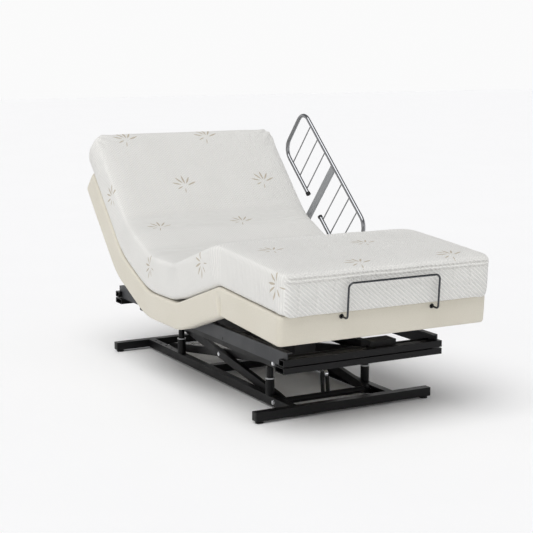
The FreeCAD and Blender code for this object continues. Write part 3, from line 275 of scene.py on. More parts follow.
def make_knit_effect():
    """A knit's relief: chevrons on top, slanted ribs on the ends, fine wales at the sides."""
    tree, t, given, out = effect(
        "knit",
        (("Vector", VECTOR, None), ("Half", FLOAT, 0.48), ("Length", FLOAT, 2.0)),
        (("Height", FLOAT), ("Side", FLOAT), ("End", FLOAT)),
    )
    part = t.add("ShaderNodeSeparateXYZ", n0=given["Vector"])
    u, v = part.outputs[0], part.outputs[1]
    past_side = t.math("SUBTRACT", t.math("ABSOLUTE", u), given["Half"])
    past_foot = t.math("MULTIPLY", v, -1.0)
    past_head = t.math("SUBTRACT", v, given["Length"])
    side = t.ramp(past_side, 0.0, 0.012)
    end = t.ramp(t.math("MAXIMUM", past_foot, past_head), 0.012, 0.02)

    def stripes(coordinate, pitch):
        return t.math("SINE", t.math("MULTIPLY", coordinate, 2 * math.pi / pitch))

    fold = t.math("PINGPONG", u, 0.017)
    chevron = stripes(t.math("ADD", v, fold), 0.0125)
    stitch = stripes(t.math("SUBTRACT", v, t.math("MULTIPLY", fold, 2.0)), 0.0031)
    top = t.math("MULTIPLY_ADD", stitch, 0.3, chevron)
    slant = stripes(t.math("ADD", t.math("MULTIPLY", u, 0.8), v), 0.0165)
    fine = t.math("MULTIPLY", stripes(t.math("ADD", u, v), 0.0042), 0.35)
    wale = t.math("ADD", stripes(v, 0.0105), fine)
    lower = t.add("ShaderNodeMix", {"data_type": "FLOAT"}, n0=side, n2=top, n3=wale).outputs[0]
    ribs = t.math("MULTIPLY", slant, 2.4)
    ribbed = t.add("ShaderNodeMix", {"data_type": "FLOAT"}, n0=end, n2=lower, n3=ribs)
    t.feed(out, "Height", ribbed.outputs[0])
    t.feed(out, "Side", side)
    t.feed(out, "End", end)
    return tree


EFFECTS = {"coat": make_coat_effect(), "metal": make_metal_effect(), "knit": make_knit_effect()}
EFFECTS["sprigs"] = make_sprig_effect(make_leaf_effect())


def material(name):
    """A new material: its node maker, its shader, and the Object coordinates."""
    made = bpy.data.materials.new(name)
    made.use_nodes = True
    t = Tree(made.node_tree)
    shader = made.node_tree.nodes["Principled BSDF"]
    return made, t, shader, t.add("ShaderNodeTexCoord").outputs["Object"]


def painted(name, colour, rub_colour, gloss=(0.34, 0.48), peel=0.00003, grain=700.0, specular=0.5):
    """Powder coat or moulded plastic."""
    made, t, shader, here = material(name)
    coat = t.group(EFFECTS["coat"], Vector=here, Colour=colour, Rub_Colour=rub_colour, Rub=0.25,
                   Grain_Scale=grain, Low_Gloss=gloss[0], High_Gloss=gloss[1])
    t.feed(shader, "Base Color", coat.outputs["Colour"])
    t.feed(shader, "Roughness", coat.outputs["Roughness"])
    t.feed(shader, "Normal", t.bump(coat.outputs["Height"], peel))
    shader.inputs["Specular IOR Level"].default_value = specular
    return made


def polished(name, colour, gloss):
    """Plated or bare metal."""
    made, t, shader, here = material(name)
    shine = t.group(EFFECTS["metal"], Vector=here, Colour=colour, Low_Gloss=gloss[0],
                    High_Gloss=gloss[1])
    t.feed(shader, "Base Color", shine.outputs["Colour"])
    t.feed(shader, "Roughness", shine.outputs["Roughness"])
    t.feed(shader, "Normal", t.bump(shine.outputs["Height"], 0.000006))
    shader.inputs["Metallic"].default_value = 1.0
    return made


FLAT = "flat"


def knitted_cover(half, length):
    """White knit with printed sprigs, its pattern laid on the cloth's own flat map."""
    made, t, shader, here = material("mattress_cover")
    flat = t.add("ShaderNodeUVMap", {"uv_map": FLAT}).outputs[0]
    knit = t.group(EFFECTS["knit"], Vector=flat, Half=half, Length=length)
    laid = t.add("ShaderNodeMapping", Vector=flat, Location=(0.12, 0.09, 0.0))
    sprigs = t.group(EFFECTS["sprigs"], Vector=laid.outputs[0])
    cloud = t.noise(here, 6.0, 3.0)
    fuzz = t.noise(here, 420.0, 3.0, 0.7)
    tone = t.mix(cloud, (0.80, 0.792, 0.76), (0.865, 0.857, 0.827))
    # Painted shade: the colour darkens where the knit's relief is low, in its grooves and seams.
    groove_painted_shade = t.ramp(knit.outputs["Height"], -1.0, 0.2, 1.0, 0.0)
    shaded = t.mix(t.math("MULTIPLY", groove_painted_shade, 0.30), tone, (0.58, 0.575, 0.55))
    on_top = t.math("SUBTRACT", 1.0, knit.outputs["End"])
    worn = t.math("MULTIPLY", sprigs.outputs[0], t.ramp(fuzz, 0.2, 0.55, 0.45, 0.8))
    ink = t.math("MULTIPLY", worn, on_top)
    t.feed(shader, "Base Color", t.mix(ink, shaded, (0.44, 0.36, 0.245)))
    relief = t.math("MULTIPLY_ADD", fuzz, 0.5, knit.outputs["Height"])
    t.feed(shader, "Normal", t.bump(relief, 0.0012, 0.7))
    t.feed(shader, "Roughness", t.math("MULTIPLY_ADD", fuzz, 0.15, 0.8))
    shader.inputs["Sheen Weight"].default_value = 0.15
    shader.inputs["Sheen Roughness"].default_value = 0.5
    shader.inputs["Specular IOR Level"].default_value = 0.2
    return made


def deck_fabric():
    """Cream upholstery: a close plain weave, a little cloudy."""
    made, t, shader, here = material("deck_fabric")
    flat = t.add("ShaderNodeUVMap", {"uv_map": FLAT}).outputs[0]
    part = t.add("ShaderNodeSeparateXYZ", n0=flat)
    thread = 0.0016
    warp, weft = (t.math("SINE", t.math("MULTIPLY", part.outputs[i], 2 * math.pi / thread))
                  for i in (0, 1))
    weave = t.math("MULTIPLY", warp, weft)
    cloud = t.noise(here, 4.0, 3.0)
    slub = t.noise(here, 260.0, 4.0, 0.65)
    tone = t.mix(cloud, (0.66, 0.62, 0.52), (0.735, 0.70, 0.61))
    shaded = t.mix(t.math("MULTIPLY", t.ramp(slub, 0.35, 0.65), 0.2), tone, (0.57, 0.53, 0.44))
    t.feed(shader, "Base Color", shaded)
    t.feed(shader, "Roughness", t.math("MULTIPLY_ADD", slub, 0.2, 0.66))
    t.feed(shader, "Normal", t.bump(t.math("MULTIPLY_ADD", weave, 0.4, slub), 0.0005, 0.6))
    shader.inputs["Sheen Weight"].default_value = 0.15
    return made


FINISHES = {
    "frame_black": painted("frame_black", (0.005, 0.005, 0.0055), (0.06, 0.06, 0.06), specular=0.2),
    "plate_black": painted("plate_black", (0.040, 0.042, 0.046), (0.12, 0.12, 0.13),
                           gloss=(0.4, 0.55), specular=0.35),
    "black_plastic": painted("black_plastic", (0.009, 0.009, 0.009), (0.05, 0.05, 0.05),
                             gloss=(0.45, 0.6), specular=0.3, peel=0.00006, grain=1300.0),
    "ring": painted("ring", (0.50, 0.51, 0.52), (0.7, 0.7, 0.7), gloss=(0.4, 0.5)),
    "bolt_steel": polished("bolt_steel", (0.72, 0.73, 0.75), (0.2, 0.34)),
    "roller": painted("roller", (0.70, 0.69, 0.65), (0.45, 0.44, 0.4), gloss=(0.4, 0.55)),
    "dark_chrome": polished("dark_chrome", (0.07, 0.073, 0.08), (0.08, 0.18)),
    "chrome": polished("chrome", (0.27, 0.275, 0.285), (0.03, 0.09)),
    "post_grey": painted("post_grey", (0.30, 0.31, 0.32), (0.5, 0.5, 0.5), gloss=(0.38, 0.5),
                         peel=0.00002),
}


SLOT_OF = {}
for part in frame["record"]["subparts"]:
    SLOT_OF[part["node"]] = part.get("material_slot") or part.get("material")

for name, node in frame["nodes"].items():
    wanted = SLOT_OF.get(name)
    if wanted in FINISHES:
        node.data.materials.clear()
        node.data.materials.append(FINISHES[wanted])


# The course: how flat cloth is carried along the sections --------------------------------------


class Course:
    """A line in the bed's side plane: straight runs at one height above the sections, with an arc
    at each fold. It carries a flat piece (along, across, above) to its place."""

    def __init__(self, height, foot, head, radii, step=0.004):
        thigh_way = (THIGH_HINGE - KNEE).normalized()
        lumbar_way = (BACK_HINGE - LUMBAR_HINGE).normalized()
        ways = [CALF_WAY, thigh_way, Vector((1.0, 0.0)), lumbar_way, BACK_WAY]
        corners = [KNEE, THIGH_HINGE, LUMBAR_HINGE, BACK_HINGE]
        ups = [Vector((-way.y, way.x)) for way in ways]
        lifted = []
        for corner, before, after in zip(corners, ups, ups[1:]):
            bisector = (before + after).normalized()
            lifted.append(corner + bisector * (height / bisector.dot(before)))
        first = KNEE - CALF_WAY * foot + ups[0] * height
        last = BACK_HINGE + BACK_WAY * head + ups[4] * height
        points = [first, *lifted, last]
        y, z, self.fold_at = [points[0].x], [points[0].y], []
        travelled = 0.0
        here = points[0]
        for corner, before, after, radius in zip(points[1:-1], ways, ways[1:], radii):
            turn = math.atan2(before.x * after.y - before.y * after.x, before.dot(after))
            reach = radius * math.tan(abs(turn) / 2)
            start = corner - before * reach
            run = (start - here).length
            travelled += run
            y.append(start.x)
            z.append(start.y)
            steps = 24
            side = Vector((-before.y, before.x)) * math.copysign(radius, turn)
            centre = start + side
            for number in range(1, steps + 1):
                angle = turn * number / steps
                spoke = Matrix.Rotation(angle, 2) @ (-side)
                y.append(centre.x + spoke.x)
                z.append(centre.y + spoke.y)
            self.fold_at.append(travelled + abs(turn) * radius / 2)
            travelled += abs(turn) * radius
            here = corner + after * reach
        y.append(points[-1].x)
        z.append(points[-1].y)
        y, z = np.array(y), np.array(z)
        along = np.concatenate([[0.0], np.cumsum(np.hypot(np.diff(y), np.diff(z)))])
        self.length = float(along[-1])
        self.at = np.linspace(0.0, self.length, int(self.length / step))
        self.y, self.z = np.interp(self.at, along, y), np.interp(self.at, along, z)
        slope = np.arctan2(np.gradient(self.z), np.gradient(self.y))
        window = np.ones(5) / 5
        padded = np.pad(slope, 2, mode="edge")
        self.slope = np.convolve(padded, window, "valid")

    def carry(self, flat):
        """Places for flat points given as rows of (across, along, above)."""
        inside = np.clip(flat[:, 1], 0.0, self.length)
        beyond = flat[:, 1] - inside
        y, z, slope = (np.interp(inside, self.at, track) for track in (self.y, self.z, self.slope))
        up = flat[:, 2]
        out = np.empty_like(flat)
        out[:, 0] = flat[:, 0] + MID_X
        out[:, 1] = y + beyond * np.cos(slope) - up * np.sin(slope)
        out[:, 2] = z + beyond * np.sin(slope) + up * np.cos(slope)
        return out


# Flat shapes ------------------------------------------------------------------------------------


def object_of(shape, name):
    mesh = bpy.data.meshes.new(name)
    shape.to_mesh(mesh)
    shape.free()
    made = bpy.data.objects.new(name, mesh)
    bpy.context.scene.collection.objects.link(made)
    return made


def applied(item, kind, **settings):
    """The object with a modifier applied to its mesh."""
    modifier = item.modifiers.new(kind.lower(), kind)
    for name, value in settings.items():
        setattr(modifier, name, value)
    graph = bpy.context.evaluated_depsgraph_get()
    mesh = bpy.data.meshes.new_from_object(item.evaluated_get(graph))
    item.modifiers.clear()
    old = item.data
    item.data = mesh
    bpy.data.meshes.remove(old)
    return item


def coordinates(mesh):
    points = np.empty(len(mesh.vertices) * 3)
    mesh.vertices.foreach_get("co", points)
    return points.reshape(-1, 3)


def set_coordinates(mesh, points):
    mesh.vertices.foreach_set("co", np.ascontiguousarray(points, dtype=np.float32).ravel())
    mesh.update()


def ease_edges(shape, edges, offset, segments):
    bmesh.ops.bevel(shape, geom=edges, offset=offset, offset_type="OFFSET", segments=segments,
                    profile=0.5, affect="EDGES", material=-1)


def slice_at(shape, axis, place):
    """A ring of edges round a whole shape where one axis has a given value."""
    point, way = [0.0] * 3, [0.0] * 3
    point[axis], way[axis] = place, 1.0
    everything = shape.verts[:] + shape.edges[:] + shape.faces[:]
    bmesh.ops.bisect_plane(shape, geom=everything, dist=1e-5, plane_co=point, plane_no=way)


def slab(low, high, corner, edge, corner_steps=8, edge_steps=4):
    """A block with rounded upright corners and softened edges."""
    shape = bmesh.new()
    bmesh.ops.create_cube(shape, size=1.0)
    spans = [b - a for a, b in zip(low, high)]
    middle = [(a + b) / 2 for a, b in zip(low, high)]
    bmesh.ops.scale(shape, vec=spans, verts=shape.verts)
    bmesh.ops.translate(shape, vec=middle, verts=shape.verts)
    upright = [e for e in shape.edges if abs(e.verts[0].co.z - e.verts[1].co.z) > spans[2] / 2]
    ease_edges(shape, upright, corner, corner_steps)
    rim = [e for e in shape.edges if abs(e.verts[0].co.z - e.verts[1].co.z) < 1e-6]
    ease_edges(shape, rim, edge, edge_steps)
    return shape


def puffed(item, voxel, pressure, cap, frames=20):
    """The object swollen like a filled cover: remeshed, simulated, and held to a cap."""
    applied(item, "REMESH", mode="VOXEL", voxel_size=voxel)
    start = coordinates(item.data)
    scene = bpy.context.scene
    cloth = item.modifiers.new("cover", "CLOTH")
    settings = cloth.settings
    settings.use_pressure = True
    settings.uniform_pressure_force = pressure
    settings.effector_weights.gravity = 0.0
    settings.quality = 3
    settings.tension_stiffness = settings.compression_stiffness = 25.0
    settings.shear_stiffness = 12.0
    settings.bending_stiffness = 2.0
    cloth.point_cache.frame_start = 1
    cloth.point_cache.frame_end = frames
    for number in range(1, frames + 1):
        scene.frame_set(number)
    graph = bpy.context.evaluated_depsgraph_get()
    swollen = coordinates(item.evaluated_get(graph).data)
    item.modifiers.clear()
    scene.frame_set(1)
    move = swollen - start
    reach = np.linalg.norm(move, axis=1, keepdims=True)
    limited = move * (cap * np.tanh(reach / cap) / np.maximum(reach, 1e-9))
    set_coordinates(item.data, start + limited)
    return item


def waves(values, seed, pitches):
    """A sum of sines of nearly even pitches, between about -1 and 1."""
    draw = random.Random(seed)
    total = np.zeros_like(values)
    for pitch in pitches:
        total += np.sin(values * 2 * np.pi / pitch + draw.uniform(0, 6.28)) * draw.uniform(0.7, 1.0)
    return total / len(pitches)


def smooth(values, low, high):
    """A smooth step from 0 at low to 1 at high."""
    t = np.clip((values - low) / (high - low), 0.0, 1.0)
    return t * t * (3 - 2 * t)


def bump_at(values, centre, spread):
    return np.exp(-(((values - centre) / spread) ** 2))


# Mattress -----------------------------------------------------------------------------------------

THICK = 0.170
QUILT = 0.077
RIDGES = (0.815, 0.905, 0.985)
HALF = 0.4825
mattress_course = Course(0.0833, 0.516, 0.612, (0.12, 0.40, 0.46, 0.46))
LENGTH = mattress_course.length
KNEE_AT, SEAT_AT, LUMBAR_AT, BACK_AT = mattress_course.fold_at


def dress_mattress(points):
    """The cover's own form on the flat mattress: crown, gathers, folds, quilting and seams."""
    x, s, h = points[:, 0].copy(), points[:, 1].copy(), points[:, 2].copy()
    out = points.copy()
    from_foot, from_head, from_side = s, LENGTH - s, HALF - np.abs(x)
    up = np.clip(h / THICK, 0.0, 1.0)
    # The top falls away towards its foot and sides, and stands up at its head.
    fall = 0.010 * np.exp(-from_foot / 0.05) - 0.006 * np.exp(-from_head / 0.12)
    fall += 0.010 * np.exp(-from_side / 0.05) * smooth(s, BACK_AT - 0.2, BACK_AT + 0.2)
    out[:, 2] -= fall * smooth(up, 0.35, 1.0)
    # Broad unevenness of the filling.
    broad = waves(s + 0.31 * x, 5, (0.31, 0.44, 0.23)) * waves(x - 0.2 * s, 8, (0.36, 0.52, 0.27))
    out[:, 2] += 0.0026 * broad * smooth(up, 0.5, 1.0)
    # Soft folds across the top where it is pressed together.
    pressed = ((SEAT_AT + 0.02, 0.10, 3), (LUMBAR_AT, 0.12, 4), (BACK_AT, 0.12, 6))
    for centre, spread, seed in pressed:
        folds = waves(s + 0.02 * np.sin(x * 9.0 + seed), seed, (0.046, 0.058, 0.071))
        out[:, 2] += 0.0030 * folds * bump_at(s, centre, spread) * smooth(up, 0.6, 1.0)
    # Upright gathers on the long sides, strongest between the seat and the calf.
    side = smooth(np.abs(x), HALF - 0.014, HALF - 0.004)
    middle_band = smooth(up, 0.02, 0.25) * (1 - 0.75 * smooth(up, 0.72, 1.0))
    strength = 0.0018 + 0.0046 * bump_at(s, (KNEE_AT + SEAT_AT) / 2, 0.34)
    strength += 0.0020 * bump_at(s, BACK_AT, 0.4)
    strength += 0.0040 * bump_at(s, 0.12, 0.18)
    gathers = waves(s + 0.006 * np.sin(h * 40 + x), 11, (0.021, 0.0265, 0.034, 0.047))
    out[:, 0] += np.sign(x) * gathers * strength * side * middle_band
    # The border bellies out between its top and bottom seams.
    out[:, 0] += np.sign(x) * side * (0.006 * np.sin(np.pi * up) - 0.004)
    # The bottom lifts off the deck a little at the seat, and hangs over its edge at the foot.
    out[:, 2] += 0.008 * bump_at(s, SEAT_AT - 0.02, 0.07) * (1 - smooth(up, 0.0, 0.35))
    overhang = 1 - smooth(from_foot, 0.012, 0.034)
    out[:, 2] -= 0.014 * overhang * (1 - smooth(up, 0.0, 0.5))
    # Puckers and bulges round the head's corners, where the cover is folded in.
    corner = bump_at(from_head, 0.0, 0.15) * bump_at(from_side, 0.0, 0.10)
    around = np.arctan2(from_head + 0.02, from_side + 0.02)
    out[:, 2] += 0.004 * corner * np.sin(around * 17.0) * smooth(up, 0.5, 1.0)
    out[:, 0] += np.sign(x) * 0.014 * corner * np.sin(np.pi * np.clip(up * 1.15 - 0.1, 0, 1))
    tuck = bump_at(from_head, 0.085, 0.012) + 0.7 * bump_at(from_head, 0.045, 0.010)
    out[:, 0] -= np.sign(x) * 0.006 * tuck * side * (1 - smooth(up, 0.45, 0.8))
    # The ends: upright quilting seams, three ridges under the top edge, a seam at the bottom.
    for face, way in ((from_foot, -1.0), (from_head, 1.0)):
        on_end = 1 - smooth(face, 0.004, 0.016)
        groove = np.abs(((x + 0.02) / QUILT + 0.5) % 1.0 - 0.5) * QUILT
        panel = smooth(up, 0.05, 0.14) * (1 - smooth(up, 0.74, 0.80))
        out[:, 1] -= way * 0.0052 * np.exp(-((groove / 0.006) ** 2)) * on_end * panel
        out[:, 1] += way * 0.0040 * on_end * (np.sin(np.pi * up) - 0.6)
        for height in RIDGES:
            ridge = bump_at(up, height, 0.022) - 0.8 * bump_at(up, height - 0.045, 0.016)
            out[:, 1] += way * 0.0034 * ridge * (1 - smooth(face, 0.012, 0.040))
        out[:, 1] -= way * 0.0030 * bump_at(up, 0.055, 0.020) * on_end
    return out


def face_corners(mesh):
    """The vertex at each corner of each face, and the normal of the face that it is on."""
    corners = np.empty(len(mesh.loops), dtype=np.int64)
    mesh.loops.foreach_get("vertex_index", corners)
    totals = np.empty(len(mesh.polygons), dtype=np.int64)
    mesh.polygons.foreach_get("loop_total", totals)
    normals = np.empty(len(mesh.polygons) * 3)
    mesh.polygons.foreach_get("normal", normals)
    return corners, totals, np.repeat(normals.reshape(-1, 3), totals, axis=0)


def flat_map(mesh, flat, half, length, top):
    """The cloth's own map in metres: the top as it lies, with the sides and ends folded out."""
    mesh.uv_layers.new(name=FLAT)
    corners, _, facing = face_corners(mesh)
    place = flat[corners]
    x, s, drop = place[:, 0], place[:, 1], np.maximum(top - place[:, 2], 0.0)
    steep = np.abs(facing[:, 2]) < 0.75
    sideways = steep & (np.abs(facing[:, 0]) >= np.abs(facing[:, 1]))
    endways = steep & ~sideways
    uv = np.stack([x, s], axis=1)
    uv[sideways, 0] = np.sign(x[sideways]) * (half + drop[sideways])
    uv[endways, 1] = np.where(s[endways] > length / 2, length + drop[endways], -drop[endways])
    mesh.uv_layers[FLAT].data.foreach_set("uv", uv.astype(np.float32).ravel())


def cut_across(mesh, places):
    """Rings of edges across a flat mesh at places along it."""
    shape = bmesh.new()
    shape.from_mesh(mesh)
    for place in places:
        slice_at(shape, 1, place)
    shape.to_mesh(mesh)
    shape.free()


def carried_pieces(name, mesh, course, cuts, half, top, dress, finish):
    """Cut a flat mesh across, carry it to the bed, and part it with unbroken shading."""
    cut_across(mesh, cuts)
    flat = coordinates(mesh).copy()
    shaped = dress(flat)
    set_coordinates(mesh, shaped)
    flat_map(mesh, shaped, half, course.length, top)
    set_coordinates(mesh, course.carry(shaped))
    for polygon in mesh.polygons:
        polygon.use_smooth = True
    normals = np.empty(len(mesh.vertices) * 3)
    mesh.vertices.foreach_get("normal", normals)
    kept = mesh.attributes.new("whole_normal", "FLOAT_VECTOR", "POINT")
    kept.data.foreach_set("vector", normals.astype(np.float32))
    along = mesh.attributes.new("along", "FLOAT", "POINT")
    along.data.foreach_set("value", flat[:, 1].astype(np.float32))
    bounds = [-1.0, *cuts, course.length + 1.0]
    parts = []
    for number, (low, high) in enumerate(zip(bounds, bounds[1:])):
        shape = bmesh.new()
        shape.from_mesh(mesh)
        layer = shape.verts.layers.float["along"]
        outside = []
        for face in shape.faces:
            middle = sum(v[layer] for v in face.verts) / len(face.verts)
            if not low < middle < high:
                outside.append(face)
        bmesh.ops.delete(shape, geom=outside, context="FACES")
        loose = [v for v in shape.verts if not v.link_faces]
        bmesh.ops.delete(shape, geom=loose, context="VERTS")
        rims = [e for e in shape.edges if e.is_boundary]
        caps = set()
        for end in (low, high):
            ring = [e for e in rims if abs(e.verts[0][layer] - end) < 1e-3]
            if ring:
                filled = bmesh.ops.triangle_fill(shape, use_beauty=True, use_dissolve=False,
                                                 edges=ring)
                caps |= {f for f in filled["geom"] if isinstance(f, bmesh.types.BMFace)}
        for face in shape.faces:
            face.smooth = face not in caps
        made = object_of(shape, f"{name}_{number}")
        made.data.materials.append(finish)
        parts.append(keep_shading(made))
    return parts


def keep_shading(item):
    """Give a cut piece the normals that it had as part of the whole."""
    mesh = item.data
    count = len(mesh.vertices)
    kept = np.empty(count * 3)
    mesh.attributes["whole_normal"].data.foreach_get("vector", kept)
    kept = kept.reshape(-1, 3)
    corners, totals, facing = face_corners(mesh)
    is_smooth = np.empty(len(mesh.polygons), dtype=bool)
    mesh.polygons.foreach_get("use_smooth", is_smooth)
    loops = kept[corners]
    on_cap = np.repeat(~is_smooth, totals)
    loops[on_cap] = facing[on_cap]
    mesh.normals_split_custom_set(loops.tolist())
    for name in ("whole_normal", "along"):
        mesh.attributes.remove(mesh.attributes[name])
    return item


def point_on(course, place, height=0.0):
    """A point of the bed's middle plane at a place along a course."""
    spot = course.carry(np.array([[0.0, place, height]]))[0]
    return tuple(float(number) for number in spot)


PAIRS = (
    # bodies, then the fold between them, as the cloth meets them from foot to head
    ("calf", "thigh", 0),
    ("thigh", "carriage", 1),
    ("carriage", "lumbar", 2),
    ("lumbar", "back", 3),
)


def hang(parts, names, course, half_spans, replaced):
    """Each part bends over its fold and stands for the plain solids there."""
    rows = zip(parts, names, PAIRS, half_spans, replaced)
    for part, name, (one, other, fold), reach, nodes in rows:
        part.name = name
        part.data.name = name
        centre = course.fold_at[fold]
        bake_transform(part, one, other, start=point_on(course, centre - reach),
                 end=point_on(course, centre + reach))
        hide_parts(*nodes)


def middles(course):
    """Places half way between the folds, where the cloth is parted."""
    folds = course.fold_at
    return [(a + b) / 2 for a, b in zip(folds, folds[1:])]


def fine_ends(mesh):
    """More faces on the mattress's ends, where its quilting and ridges are close together."""
    shape = bmesh.new()
    shape.from_mesh(mesh)
    for reach, cuts in ((0.040, 1), (0.016, 1)):
        close = [e for e in shape.edges
                 if all(min(v.co.y, LENGTH - v.co.y) < reach for v in e.verts)]
        bmesh.ops.subdivide_edges(shape, edges=close, cuts=cuts, use_grid_fill=True)
    shape.to_mesh(mesh)
    shape.free()


def make_mattress():
    shrink = 0.005
    low = (-HALF + shrink, shrink, 0.001)
    high = (HALF - shrink, LENGTH - shrink, THICK - shrink)
    blank = object_of(slab(low, high, 0.045, 0.020), "mattress_blank")
    voxel, pressure, cap = 0.0100, 4.0, 0.007
    item = puffed(blank, voxel, pressure, cap)
    applied(item, "SUBSURF", levels=1, render_levels=1)
    fine_ends(item.data)
    points = coordinates(item.data)
    points[:, 2] = np.maximum(points[:, 2], 0.0006)
    set_coordinates(item.data, points)
    cover = knitted_cover(HALF, LENGTH)
    parts = carried_pieces("mattress", item.data, mattress_course, middles(mattress_course), HALF,
                           THICK, dress_mattress, cover)
    names = ("mattress_foot", "mattress_knee", "mattress_seat", "mattress_back")
    replaced = (("calf_mattress",), ("thigh_mattress",), ("seat_mattress", "lumbar_mattress"),
                ("back_mattress",))
    half_spans = (0.13, 0.11, 0.12, 0.12)
    hang(parts, names, mattress_course, half_spans, replaced)
    bpy.data.objects.remove(item)


# Deck upholstery ------------------------------------------------------------------------------

DECK_HALF = 0.470
DECK_LOW, DECK_UNDER, DECK_TOP = -0.0335, 0.0126, 0.0825
BAND_WIDE, BAND_END, HOLLOW_DEEP = 0.066, 0.012, 0.1
deck_course = Course(0.0, 0.481, 0.505, (0.045, 0.22, 0.34, 0.34))


def dress_deck(points):
    """The pinch at the knee and the slight fullness of the side bands."""
    out = points.copy()
    x, s, h = points[:, 0], points[:, 1], points[:, 2]
    knee = deck_course.fold_at[0]
    side = smooth(np.abs(x), DECK_HALF - 0.02, DECK_HALF - 0.004)
    low = 1 - smooth(h, 0.0, 0.060)
    pinch = 0.016 * bump_at(s, knee - 0.004, 0.0095) + 0.003 * bump_at(s, knee, 0.03)
    pinch -= 0.004 * (bump_at(s, knee - 0.022, 0.010) + bump_at(s, knee + 0.016, 0.009))
    out[:, 0] -= np.sign(x) * pinch * side * low
    folds = waves(s + 0.3 * h, 31, (0.024, 0.037)) * bump_at(s, knee + 0.03, 0.05)
    folds += waves(s - 0.2 * h, 33, (0.08, 0.13)) * bump_at(s, deck_course.fold_at[1], 0.14) * 0.7
    out[:, 0] += np.sign(x) * side * 0.0012 * folds
    belly = np.sin(np.pi * np.clip((h - DECK_LOW) / (DECK_TOP - DECK_LOW), 0, 1))
    drift = waves(s, 21, (0.37, 0.52, 0.19))
    out[:, 0] += np.sign(x) * side * (0.0015 * belly + 0.0006 * drift)
    return out


def make_deck():
    length = deck_course.length
    outer = slab((-DECK_HALF, 0.0, DECK_LOW), (DECK_HALF, length, DECK_TOP), 0.020, 0.011, 5, 3)
    hollow = bmesh.new()
    bmesh.ops.create_cube(hollow, size=1.0)
    spans = (2 * (DECK_HALF - BAND_WIDE), length - 2 * BAND_END, HOLLOW_DEEP)
    bmesh.ops.scale(hollow, vec=spans, verts=hollow.verts)
    middle = (0, length / 2, DECK_UNDER - HOLLOW_DEEP / 2)
    bmesh.ops.translate(hollow, vec=middle, verts=hollow.verts)
    item = object_of(outer, "deck_blank")
    cutter = object_of(hollow, "deck_hollow")
    applied(item, "BOOLEAN", operation="DIFFERENCE", object=cutter, solver="EXACT")
    bpy.data.objects.remove(cutter)
    places = []
    knee = deck_course.fold_at[0]
    at = 0.0
    while at < length:
        close = min(abs(at - fold) for fold in deck_course.fold_at)
        at += 0.003 if abs(at - knee) < 0.06 else (0.010 if close < 0.16 else 0.03)
        places.append(at)
    cut_across(item.data, [place for place in places if place < length - 0.001])
    shape = bmesh.new()
    shape.from_mesh(item.data)
    for height in np.linspace(DECK_LOW + 0.012, DECK_TOP - 0.012, 9):
        slice_at(shape, 2, height)
    for across in (-0.44, -0.2, 0.0, 0.2, 0.44):
        slice_at(shape, 0, across)
    shape.to_mesh(item.data)
    shape.free()
    parts = carried_pieces("deck", item.data, deck_course, middles(deck_course), DECK_HALF,
                           DECK_TOP, dress_deck, deck_fabric())
    names = ("deck_cover_foot", "deck_cover_knee", "deck_cover_seat", "deck_cover_back")
    replaced = (("calf_upholstery",), ("thigh_upholstery",),
                ("seat_upholstery", "lumbar_upholstery"), ("back_upholstery",))
    hang(parts, names, deck_course, (0.02, 0.06, 0.10, 0.10), replaced)
    bpy.data.objects.remove(item)


make_mattress()
make_deck()


# Hardware -------------------------------------------------------------------------------------


BOLT, HEX, WASHER, WASHER_TALL = 0.006, 0.0095, 0.010, 0.0012


def round_bar(shape, start, length, radius, sides, ease):
    """A bar or a hexagon along X added to a shape, with eased rims."""
    middle = (start[0] + length / 2, start[1], start[2])
    way = Matrix.Translation(middle) @ Matrix.Rotation(math.pi / 2, 4, "Y")
    made = bmesh.ops.create_cone(shape, cap_ends=True, segments=sides, radius1=radius,
                                 radius2=radius, depth=abs(length), matrix=way)
    rims = [e for e in {e for v in made["verts"] for e in v.link_edges}
            if abs(e.verts[0].co.x - e.verts[1].co.x) < 1e-6]
    if ease:
        ease_edges(shape, rims, ease, 2)


def finished(shape, name, body, slot_name, replaced=()):
    """A hard piece with its finish, riding on its body."""
    bmesh.ops.recalc_face_normals(shape, faces=shape.faces)
    made = object_of(shape, name)
    made.data.materials.append(FINISHES[slot_name])
    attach(made, body)
    if replaced:
        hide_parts(*replaced)
    return made


def make_pivot_bolts(name, body, node, inner, washer_at):
    """Hexagon-headed bolts with washers in place of a pair of plain ones."""
    low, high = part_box(node)
    y, z = (low[1] + high[1]) / 2, (low[2] + high[2]) / 2
    reach = high[0] - MID_X
    shape = bmesh.new()
    for side in (1, -1):
        for start, end, radius, sides, ease in (
            (inner, washer_at, BOLT, 24, 0.0),
            (washer_at, washer_at + WASHER_TALL, WASHER, 32, 0.0004),
            (washer_at + WASHER_TALL, reach, HEX, 6, 0.0009),
        ):
            near = MID_X + start if side > 0 else MID_X - end
            round_bar(shape, (near, y, z), end - start, radius, sides, ease)
    finished(shape, name, body, "bolt_steel", (node,))


def make_crossing_bolts():
    low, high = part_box("crossing_bolts")
    y, z = (low[1] + high[1]) / 2, (low[2] + high[2]) / 2
    # From the middle outwards: the head, the shank through both arms, a washer and the nut.
    head, arms, washer, nut, outer = 0.157, 0.165, 0.2100, 0.2108, high[0] - MID_X
    shape = bmesh.new()
    for side in (1, -1):
        for start, end, radius, sides, ease in (
            (head, arms, HEX, 6, 0.0009),
            (arms, washer, BOLT, 24, 0.0),
            (washer, nut, WASHER, 32, 0.0003),
            (nut, outer, HEX, 6, 0.0006),
        ):
            near = MID_X + start if side > 0 else MID_X - end
            round_bar(shape, (near, y, z), end - start, radius, sides, ease)
    finished(shape, "crossing_bolt_set", "outer_arms", "bolt_steel", ("crossing_bolts",))


